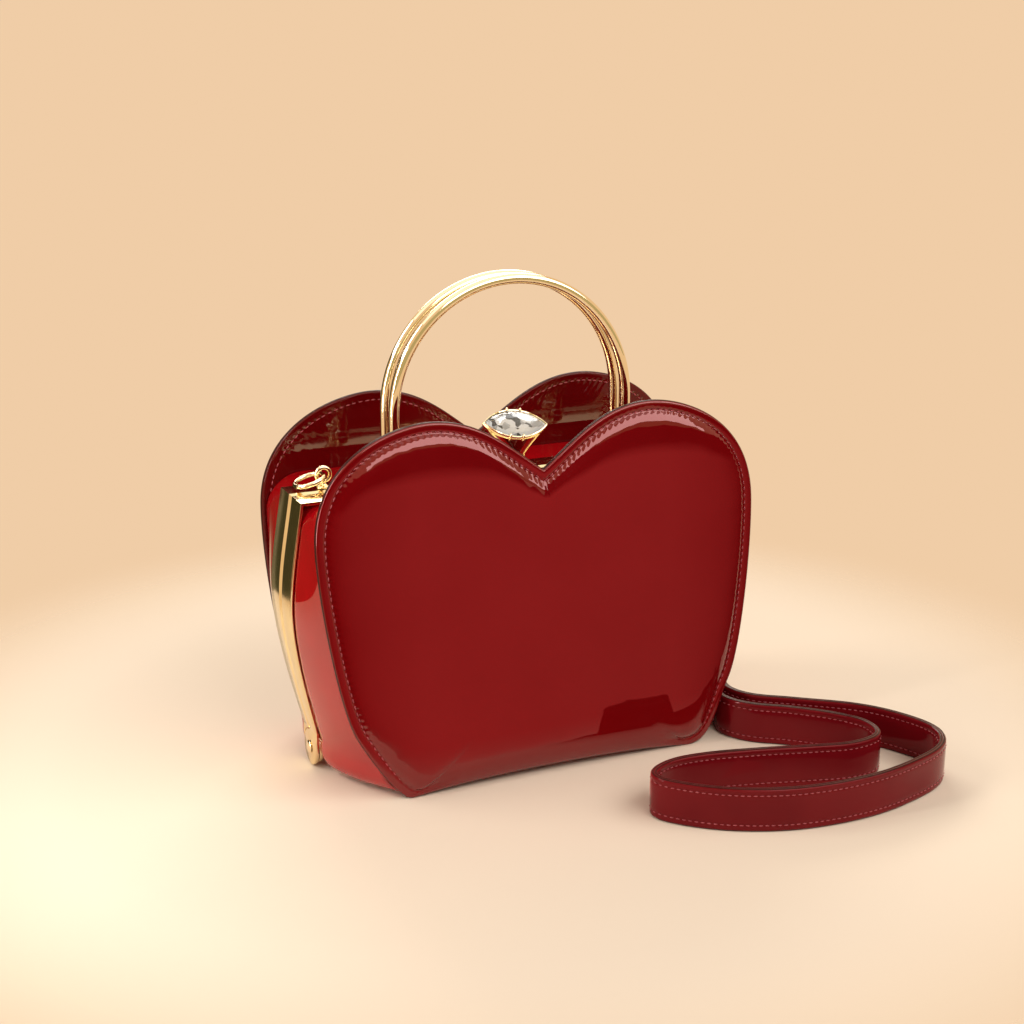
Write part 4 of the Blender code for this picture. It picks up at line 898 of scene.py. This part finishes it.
def makeFrame(prefix, side, body):
    f = frameBar
    path = [Vector((-p.x, 0, p.z)) for p in reversed(frameRight[1:])] + frameRight
    gap, sheet, channel = f["splitGap"], f["sheet"], f["channel"]
    # one closed section of the bent sheet: (inset, reach from the split, added to the band's width)
    section = [(0.0, -0.35, True), (0.1, -0.1, True), (0.35, 0.0, True), (sheet - 0.3, 0.0, True),
               (sheet, -0.3, True), (sheet, gap + sheet, False), (channel - sheet, gap + sheet, False),
               (channel - sheet, f["lip"] - 0.2, False), (channel - sheet + 0.2, f["lip"], False),
               (channel - 0.2, f["lip"], False), (channel, f["lip"] - 0.2, False), (channel, gap + 0.4, False),
               (channel - 0.4, gap, False), (f["bevelDrop"] + 0.12, gap, False), (f["bevelDrop"], gap + 0.08, False),
               (0.12, f["bevel"] - 0.1, False), (0.0, f["bevel"] + 0.12, False)]
    rows = []
    for drawIn, reach, fromBand in section:
        rows.append([Vector((p.x, side * ((bandWidth(q.z) if fromBand else 0) + reach), p.z)) * mm
                     for p, q in zip(insetPath(path, drawIn), path)])
    rows.append(rows[0])
    bm = bmesh.new()
    bm.from_mesh(gridMesh(rows, wrap=False))
    bmesh.ops.holes_fill(bm, edges=[edge for edge in bm.edges if edge.is_boundary])
    bmesh.ops.recalc_face_normals(bm, faces=bm.faces)
    band = meshFrom(bm, 22)

    # hinge lugs: the front one is a round plate that runs up into the leg; the back one lies behind it,
    # and its leg ends in a claw that follows the front plate's edge
    def lugEdge(radius, start, stop, steps):
        turns = [radians(mix(start, stop, k / steps)) for k in range(steps + 1)]
        return [(radius * cos(turn), f["pinZ"] + radius * sin(turn)) for turn in turns]

    if side < 0:
        plates = ((0.0, 1.6, lugEdge(7.9, 87, -180, 72) + [(-8.35, 13.0), (-8.5, 17.3), (-0.45, 17.3)]),)
    else:
        plates = ((2.0, 3.6, lugEdge(7.4, 93, 360, 72) + [(7.4, 18.4), (0.45, 18.4)]),
                  (0.0, 1.6, lugEdge(8.27, 15, 89, 28) + [(0.3, 17.3), (8.5, 17.3), (8.45, 13.0)]))
    lugs = [lugPlate(outline, end * (f["plateX"] - inner), end * (f["plateX"] - outer))
            for end in (-1, 1) for outer, inner, outline in plates]
    joined = joinMeshes([band] + lugs)
    joined.set_sharp_from_angle(angle=radians(24))
    addPiece(f"{prefix}_frame_bar", joined, goldSheet, body, [f"{prefix}_frame"])


makeFrame("front", -1, "front_half")
makeFrame("back", 1, "back_half")

rivet = {"head": 93.8, "tail": 89.6, "pin": 1.5, "headRadius": 2.9, "headRise": 1.1, "rim": 0.15}
for end, where in ((-1, "left"), (1, "right")):
    wide, start, rim = rivet["headRadius"], rivet["head"], rivet["rim"]
    profile = [(0, rivet["tail"]), (rivet["pin"], rivet["tail"]), (rivet["pin"], start), (wide - rim, start),
               (wide, start + rim)]
    profile += [(wide * cos(angle) * 0.97, start + rim + (rivet["headRise"] - rim) * sin(angle))
                for angle in [pi / 2 * k / 8 for k in range(1, 9)]]
    lie = placeAt(0, 0, frameBar["pinZ"], end * pi / 2, "Y")
    addGold(f"hinge_rivet_{where}", turnedMesh(profile, lie, 40), "front_half", f"hinge_pin_{where}")
print("frame ready")

# handles

handle = {"radius": 54.0, "centre": 151.2, "tube": 2.3, "offset": 5.2, "collar": 3.5, "collarHeight": 4.0}
for prefix, side in (("front", -1), ("back", 1)):
    foot, centre, bend, y = frameBar["barTop"], handle["centre"], handle["radius"], side * handle["offset"]
    spots = [(-bend, mix(foot, centre, k / 8)) for k in range(8)]
    spots += [(-bend * cos(pi * k / 160), centre + bend * sin(pi * k / 160)) for k in range(161)]
    spots += [(bend, mix(centre, foot, k / 8)) for k in range(1, 9)]
    mesh = tubeMesh([Vector((x, y, z)) * mm for x, z in spots], handle["tube"] * mm, 40)
    addGold(f"{prefix}_handle_tube", mesh, f"{prefix}_half", f"{prefix}_handle")
    inner, outer, high = handle["tube"] + 0.05, handle["collar"], handle["collarHeight"]
    profile = [(inner, 0), (outer - 0.2, 0), (outer, 0.2), (outer, 1.0), (outer - 0.25, 1.25), (outer - 0.25, 1.6),
               (outer, 1.85), (outer, 0.72 * high), (outer - 0.2, 0.86 * high), (outer - 0.7, high), (inner, high),
               (inner, 0)]
    for x, where in ((-bend, "left"), (bend, "right")):
        collar = turnedMesh(profile, placeAt(x, y, foot), 40)
        addGold(f"{prefix}_handle_collar_{where}", collar, f"{prefix}_half", f"{prefix}_collar_{where}")
print("handles ready")

# strap rings

ringSet = {"x": 82.0, "y": 5.5, "eyeZ": 127.0, "ring": 6.3, "wire": 0.95, "slope": 17.0, "eye": 2.9, "eyeWire": 1.0,
           "stem": ((0, 0), (3.1, 0), (3.2, 0.12), (3.2, 0.65), (3.0, 0.85), (1.9, 1.2), (1.35, 1.7), (1.3, 2.6),
                    (1.6, 3.2), (0, 3.4))}


def torusMesh(matrix, ring, wire, steps, sides):
    turns = [pi / 2 + 2 * pi * k / sides for k in range(sides + 1)]
    return turnedMesh([(ring + wire * cos(turn), wire * sin(turn)) for turn in turns], matrix, steps, None)


for end, where in ((-1, "left"), (1, "right")):
    r = ringSet
    stem = turnedMesh(r["stem"], placeAt(end * r["x"], r["y"], frameBar["barTop"]), 36)
    eye = torusMesh(placeAt(end * r["x"], r["y"], r["eyeZ"], pi / 2, "X"), r["eye"], r["eyeWire"], 56, 18)
    addGold(f"ring_eye_{where}", joinMeshes([stem, eye]), "back_half", f"ring_lug_{where}")
    slope, reach = radians(r["slope"]), r["ring"]
    lie = placeAt(end * (r["x"] + reach * cos(slope)), r["y"], r["eyeZ"] - reach * sin(slope), end * slope, "Y")
    ring = torusMesh(lie, reach, r["wire"], 96, 20)
    addGold(f"{where}_round_ring", ring, f"{where}_strap_ring", f"{where}_ring")
print("rings ready")

# clasp

clasp = {"y": -8.0, "axisY": 9.5, "axisZ": 124.1, "leverFront": -13.6, "leverHalf": 4.6, "sheet": 1.3,
         "barrelHalf": 4.8, "stone": (13.7, 6.2), "stoneZ": 143.6, "tilt": 46.0, "cant": 8.0, "pavilion": 4.0,
         "rim": 0.9, "stem": (4.4, 3.4), "stemTop": 131.0, "foot": (6.5, 2.6, 0.6), "earInner": 5.1, "earHalf": 2.1,
         "earRise": 1.7, "catchRise": 1.65, "claws": ((-3.4, -1), (2.4, -1), (-3.0, 1), (3.0, 1)),
         "clawLine": ((0.1, -2.2), (0.42, -1.4), (0.46, -0.4), (0.40, 0.5), (0.05, 0.98), (-0.5, 1.15), (-0.9, 1.28))}
stonePlace = (placeAt(0, clasp["y"], clasp["stoneZ"], radians(clasp["tilt"]), "X")
              @ Matrix.Rotation(-radians(clasp["cant"]), 4, "Z"))


def marquise(halfLength, halfWidth, sides, turn=0.0):
    # a pointed oval of two equal arcs
    radius = (halfLength ** 2 + halfWidth ** 2) / (2 * halfWidth)
    points = []
    for k in range(sides):
        way = (4 * (k + turn) / sides) % 4
        facing = 1 if way < 2 else -1
        angle = asin(halfLength / radius) * mix(-1, 1, way / 2 % 1)
        points.append((-facing * radius * sin(angle), facing * (radius * cos(angle) - radius + halfWidth)))
    return points


def stoneRing(scale, rise, growth=0.0, sides=20, turn=0.0):
    halfLength, halfWidth = clasp["stone"]
    return [stonePlace @ Vector((x, y, rise))
            for x, y in marquise(halfLength * scale + growth, halfWidth * scale + growth, sides, turn)]


def hullMesh(points):
    bm = bmesh.new()
    for point in points:
        bm.verts.new(point)
    bmesh.ops.convex_hull(bm, input=bm.verts)
    bmesh.ops.delete(bm, geom=[vert for vert in bm.verts if not vert.link_faces], context="VERTS")
    bmesh.ops.dissolve_limit(bm, angle_limit=radians(0.6), verts=bm.verts, edges=bm.edges)
    bmesh.ops.recalc_face_normals(bm, faces=bm.faces)
    mesh = meshFrom(bm)
    mesh.shade_flat()
    return mesh


def pavilionPoints(drop=0.0):
    keel = [Vector((x, 0, -clasp["pavilion"] + abs(x) * 0.12 - drop)) for x in (-5.5, -2.0, 2.0, 5.5)]
    return stoneRing(0.70, -2.1 - drop, sides=12, turn=0.5) + [stonePlace @ point for point in keel]


crownPoints = (stoneRing(1.0, -0.3, sides=24) + stoneRing(1.0, 0.25, sides=24)
               + stoneRing(0.84, 1.45, sides=12, turn=0.5) + stoneRing(0.60, 2.6, sides=12))
addPiece("clear_stone", hullMesh(crownPoints + pavilionPoints()), crystal, "clasp", ["clasp_stone"])
backing = hullMesh(stoneRing(0.985, -0.47, sides=24) + pavilionPoints(0.12))
addPiece("stone_silvered_back", backing, silveredBack, "clasp")


def stemRing(height, scale=1.0, sides=96):
    length, width = clasp["stone"]
    turns = [Vector((x / length, y / width)).normalized() for x, y in marquise(length, width, sides)]
    return [Vector((turn.x * clasp["stem"][0] * scale, clasp["y"] + turn.y * clasp["stem"][1] * scale, height)) * mm
            for turn in turns]


stemLow = clasp["axisZ"] + 0.5 * clasp["sheet"] + 0.3
skirt = stoneRing(1.0, -1.6, clasp["rim"], 96)
neck = [[stem.lerp(rim, share) for stem, rim in zip(stemRing(clasp["stemTop"]), skirt)]
        for share in (0.2, 0.4, 0.6, 0.8, 0.93)]
cupRows = [stemRing(stemLow + rise, scale)
           for rise, scale in ((0, 1.30), (0.12, 1.35), (0.68, 1.35), (0.85, 1.28), (1.4, 1))]
cupRows += [stemRing(clasp["stemTop"] - 1.5, 0.97), stemRing(clasp["stemTop"]), *neck, skirt]
cupRows += [stoneRing(scale, rise, growth, 96) for scale, rise, growth in (
    (1.0, -1.2, clasp["rim"] + 0.06), (1.0, 0.2, clasp["rim"] + 0.06), (1.0, 0.5, clasp["rim"] - 0.15),
    (1.0, 0.55, 0.35), (1.0, 0.42, 0.12), (1.0, -0.8, 0.14), (0.75, -2.4, 0.14), (0.36, -4.3, 0.3))]
addGold("stone_cup", gridMesh(cupRows, caps=True, sharp=38), "clasp", "clasp_cup")

# four claws grip the stone at its long sides
claws = []
for x, y in clasp["claws"]:
    edge = clasp["stone"][1] * (1 - (x / clasp["stone"][0]) ** 2) + 0.75
    line = [Vector((x, y * (edge + out), rise)) for out, rise in clasp["clawLine"]]
    claw = tubeMesh(smoothLine(line, 5), 0.55, 12, up=Vector((1, 0, 0)),
                    taper=((0, 0.9), (0.6, 1.0), (0.9, 0.85), (1, 0.4)))
    claw.transform(stonePlace)
    claws.append(claw)
addGold("stone_claws", joinMeshes(claws), "clasp")

# lever on its barrel, the ears that carry it, and the magnet that holds it
axisZ, axisY, half, base = clasp["axisZ"], clasp["axisY"], clasp["barrelHalf"], frameBar["barTop"]
barrelPlace = placeAt(0, axisY, axisZ, pi / 2, "Y")
barrel = turnedMesh([(1.1, -half), (1.75, -half), (1.9, -half + 0.15), (1.9, half - 0.15), (1.75, half), (1.1, half),
                     (1.1, -half)], barrelPlace, 36)
plate = boxMesh((-clasp["leverHalf"], clasp["leverFront"], axisZ - 0.5 * clasp["sheet"]),
                (clasp["leverHalf"], axisY - 1.5, axisZ + 0.5 * clasp["sheet"]), 0.35)
addGold("clasp_lever_plate", joinMeshes([barrel, plate]), "clasp", "clasp_lever")
(outer, deep, thick), inner, earHalf = clasp["foot"], clasp["earInner"], clasp["earHalf"]
ears = [boxMesh((-outer, axisY - deep, base), (outer, axisY + deep, base + thick), 0.15)]
earTop = axisZ + clasp["earRise"]
for low, high in ((-outer, -inner), (inner, outer)):
    ears.append(boxMesh((low, axisY - earHalf, base + 0.2), (high, axisY + earHalf, earTop), 0.45, 4))
ears.append(turnedMesh([(0, -7.0), (0.6, -7.0), (0.8, -6.85), (0.8, 6.85), (0.6, 7.0), (0, 7.0)], barrelPlace, 28))
addGold("clasp_bracket_ears", joinMeshes(ears), "back_half", "clasp_bracket")
top = clasp["catchRise"]
catch = turnedMesh([(0, 0), (3.5, 0), (3.6, 0.12), (3.6, 0.6 * top), (3.1, top), (2.7, top), (2.6, top - 0.15),
                    (0, top - 0.15)], placeAt(0, clasp["y"], base), 40)
addPiece("clasp_magnet", catch, magnetSteel, "front_half", ["clasp_catch"])
print("clasp ready")

# floor, world and lamps

studio = {"floorColour": (0.82, 0.68, 0.53), "backdrop": (0.87, 0.61, 0.385), "fillColour": (0.80, 0.72, 0.62),
          "fill": 0.36, "floorFade": (0.20, 0.34), "sidesFrom": -0.2}


def floorMaterial():
    # pale paper that fades into the backdrop a little way from the object
    material, tree, shader = newMaterial("paleFloor")
    feedSockets(shader, Base_Color=(*studio["floorColour"], 1), Roughness=0.7, Specular_IOR_Level=0.1)
    near, far = studio["floorFade"]
    distance = addNode(tree, "VectorMath", objectSpace(tree), operation="LENGTH").outputs["Value"]
    clearWhere(tree, rangeOf(tree, distance, interpolation_type="SMOOTHSTEP", From_Min=near, From_Max=far))
    return material


bm = bmesh.new()
bmesh.ops.create_grid(bm, x_segments=8, y_segments=8, size=0.6)
floor = bpy.data.objects.new("floor", meshFrom(bm))
floor.data.materials.append(floorMaterial())
bpy.context.scene.collection.objects.link(floor)

world = bpy.data.worlds.new("studio")
bpy.context.scene.world = world
world.use_nodes = True
tree = world.node_tree
fill = tree.nodes["Background"]
feedSockets(fill, Color=(*studio["fillColour"], 1), Strength=studio["fill"])
seen = addNode(tree, "Background", Color=(*studio["backdrop"], 1), Strength=1.0)
paths = addNode(tree, "LightPath").outputs
total = paths["Is Camera Ray"]
for label in ("Is Glossy Ray", "Is Transmission Ray"):
    total = mathOf(tree, "MAXIMUM", total, paths[label])
choose = addNode(tree, "MixShader", total, fill.outputs["Background"], seen.outputs["Background"])
feedSockets(tree.nodes["World Output"], Surface=choose.outputs["Shader"])


def softbox(name, place, aim, size, power, colour):
    data = bpy.data.lights.new(name, "AREA")
    data.shape = "RECTANGLE"
    data.size, data.size_y = size
    data.energy = power
    data.color = colour
    obj = bpy.data.objects.new(name, data)
    obj.location = place
    obj.rotation_euler = (Vector(aim) - Vector(place)).to_track_quat("-Z", "Y").to_euler()
    bpy.context.scene.collection.objects.link(obj)


softbox("frontRight", (0.37, -0.70, 0.80), (0, -0.05, 0.15), (1.26, 0.62), 9.5, (1.0, 0.97, 0.95))
softbox("leftKey", (-0.95, 0.35, 0.85), (0, 0, 0.05), (0.5, 0.5), 5.0, (1.0, 0.96, 0.90))
softbox("backKey", (0.25, 1.0, 0.75), (0, 0, 0.08), (0.9, 0.4), 9.0, (1.0, 0.96, 0.90))
softbox("leftStrip", (-0.42, -0.10, 0.22), (-0.08, -0.04, 0.10), (0.035, 0.34), 0.8, (1.0, 0.97, 0.95))


def glowCardForGloss(name, feet, heads, *tones, sides=None, reach=None):
    # a glowing card beside the object that only its polished faces mirror, which paints reflections; its glow changes
    # with height and, with sides, along X, counted from the studio's sidesFrom; with a reach it is clear to faces that
    # are farther away
    bm = bmesh.new()
    feet, heads = [bm.verts.new(spot) for spot in feet], [bm.verts.new(spot) for spot in heads]
    edges = [bm.edges.new(pair) for line in (feet, heads) for pair in zip(line, line[1:])]
    bmesh.ops.bridge_loops(bm, edges=edges)
    obj = bpy.data.objects.new(name, meshFrom(bm))
    material, tree, shader = newMaterial(name)
    spot = addNode(tree, "SeparateXYZ", objectSpace(tree)).outputs
    glow = rampColour(tree, spot["Z"], *tones)
    if sides:
        dimming = rampColour(tree, mathOf(tree, "SUBTRACT", spot["X"], studio["sidesFrom"]), *sides)
        glow = addNode(tree, "VectorMath", glow, dimming, operation="MULTIPLY").outputs["Vector"]
    feedSockets(shader, Base_Color=(0, 0, 0, 1), Specular_IOR_Level=0.0, Emission_Color=glow, Emission_Strength=1.0)
    if reach:
        clearWhere(tree, mathOf(tree, "GREATER_THAN", addNode(tree, "LightPath").outputs["Ray Length"], reach))
    obj.data.materials.append(material)
    obj.visible_camera = obj.visible_diffuse = obj.visible_transmission = obj.visible_shadow = False
    bpy.context.scene.collection.objects.link(obj)
    return obj


# a dark glowing card in an arc behind the left side, a painted reflection which the frame's side and the gussets
# mirror above their middle; its near end glows up to the wall's tone, so that the back panel mirrors no hard edge
arc = {"middle": -0.104, "radius": 0.245, "height": 0.30, "turns": (5, -8, -20, -32, -44, -56)}
arcLine = [(arc["middle"] + arc["radius"] * sin(radians(turn)), arc["radius"] * cos(radians(turn)))
           for turn in arc["turns"]]
darkFlag = glowCardForGloss("darkFlag", [(x, y, 0) for x, y in arcLine], [(x, y, arc["height"]) for x, y in arcLine],
                         (0.0, (0.055, 0.048, 0.020)), (0.4, (0.035, 0.028, 0.014)),
                         sides=((0.055, (1, 1, 1)), (0.085, (4.5, 4.2, 5.5)), (0.116, (18.0, 15.0, 21.0))))

# a red glowing card close round the front panel, a painted reflection which gives its flat face a deep red glow and
# dims towards the rolled sides; its foot rises at the right, where the panel mirrors the strap
wrap = {"head": 0.163, "lean": 0.015, "reach": 0.063,
        "feet": ((-0.135, -0.062, 0), (-0.09, -0.088, 0), (-0.03, -0.088, 0), (0.005, -0.086, 0),
                 (0.03, -0.091, 0.003), (0.08, -0.103, 0.010), (0.125, -0.086, 0.012), (0.152, -0.045, 0.010)),
        "tones": ((0.0, (0.95, 0.55, 0.42)), (0.014, (1.10, 0.20, 0.17)), (0.129, (1.20, 0.20, 0.18)),
                  (0.137, (0.1, 0.02, 0.02))),
        "dimming": ((0.070, 0.03), (0.100, 0.42), (0.155, 1.0), (0.285, 1.0), (0.315, 0.60), (0.345, 0.08))}
nearCard = glowCardForGloss("nearCard", smoothLine([Vector(spot) for spot in wrap["feet"]], 6),
                         smoothLine([Vector((x, y + wrap["lean"], wrap["head"])) for x, y, low in wrap["feet"]], 6),
                         *wrap["tones"], sides=[(place, (share,) * 3) for place, share in wrap["dimming"]],
                         reach=wrap["reach"])

# a dark shelf card rising away above it paints shade in the roll below its highlight; its pale glowing top is a
# painted reflection for the handles
shelf = {"under": (0.162, (0.02, 0.01, 0.01)), "top": (0.1635, (0.50, 0.40, 0.20)), "rise": 0.17, "farY": -0.30,
         "near": ((-0.6, -0.09), (-0.08, -0.09), (0.0, -0.115), (0.09, -0.10), (0.6, -0.09))}
for name, (height, tone) in (("shelfUnder", shelf["under"]), ("shelfTop", shelf["top"])):
    near = [(x, y, height) for x, y in shelf["near"]]
    far = [(x, shelf["farY"], height + shelf["rise"]) for x, y in shelf["near"]]
    glowCardForGloss(name, near, far, (0.0, tone), (1.0, tone))

# a white glowing card overhead, a painted reflection for the upper faces of the tubes and the outer margin of the
# panels
sky = {"left": -0.6, "right": 0.6, "front": -0.35, "back": 0.5, "height": 0.85, "tone": (1.3, 1.22, 1.05)}
skyLines = [[(x, sky[end], sky["height"]) for x in (sky["left"], sky["right"])] for end in ("front", "back")]
skyCard = glowCardForGloss("skyCard", *skyLines, (0.0, sky["tone"]), (1.0, sky["tone"]))

bpy.context.scene.view_settings.view_transform = "Standard"

print("pieces ready")
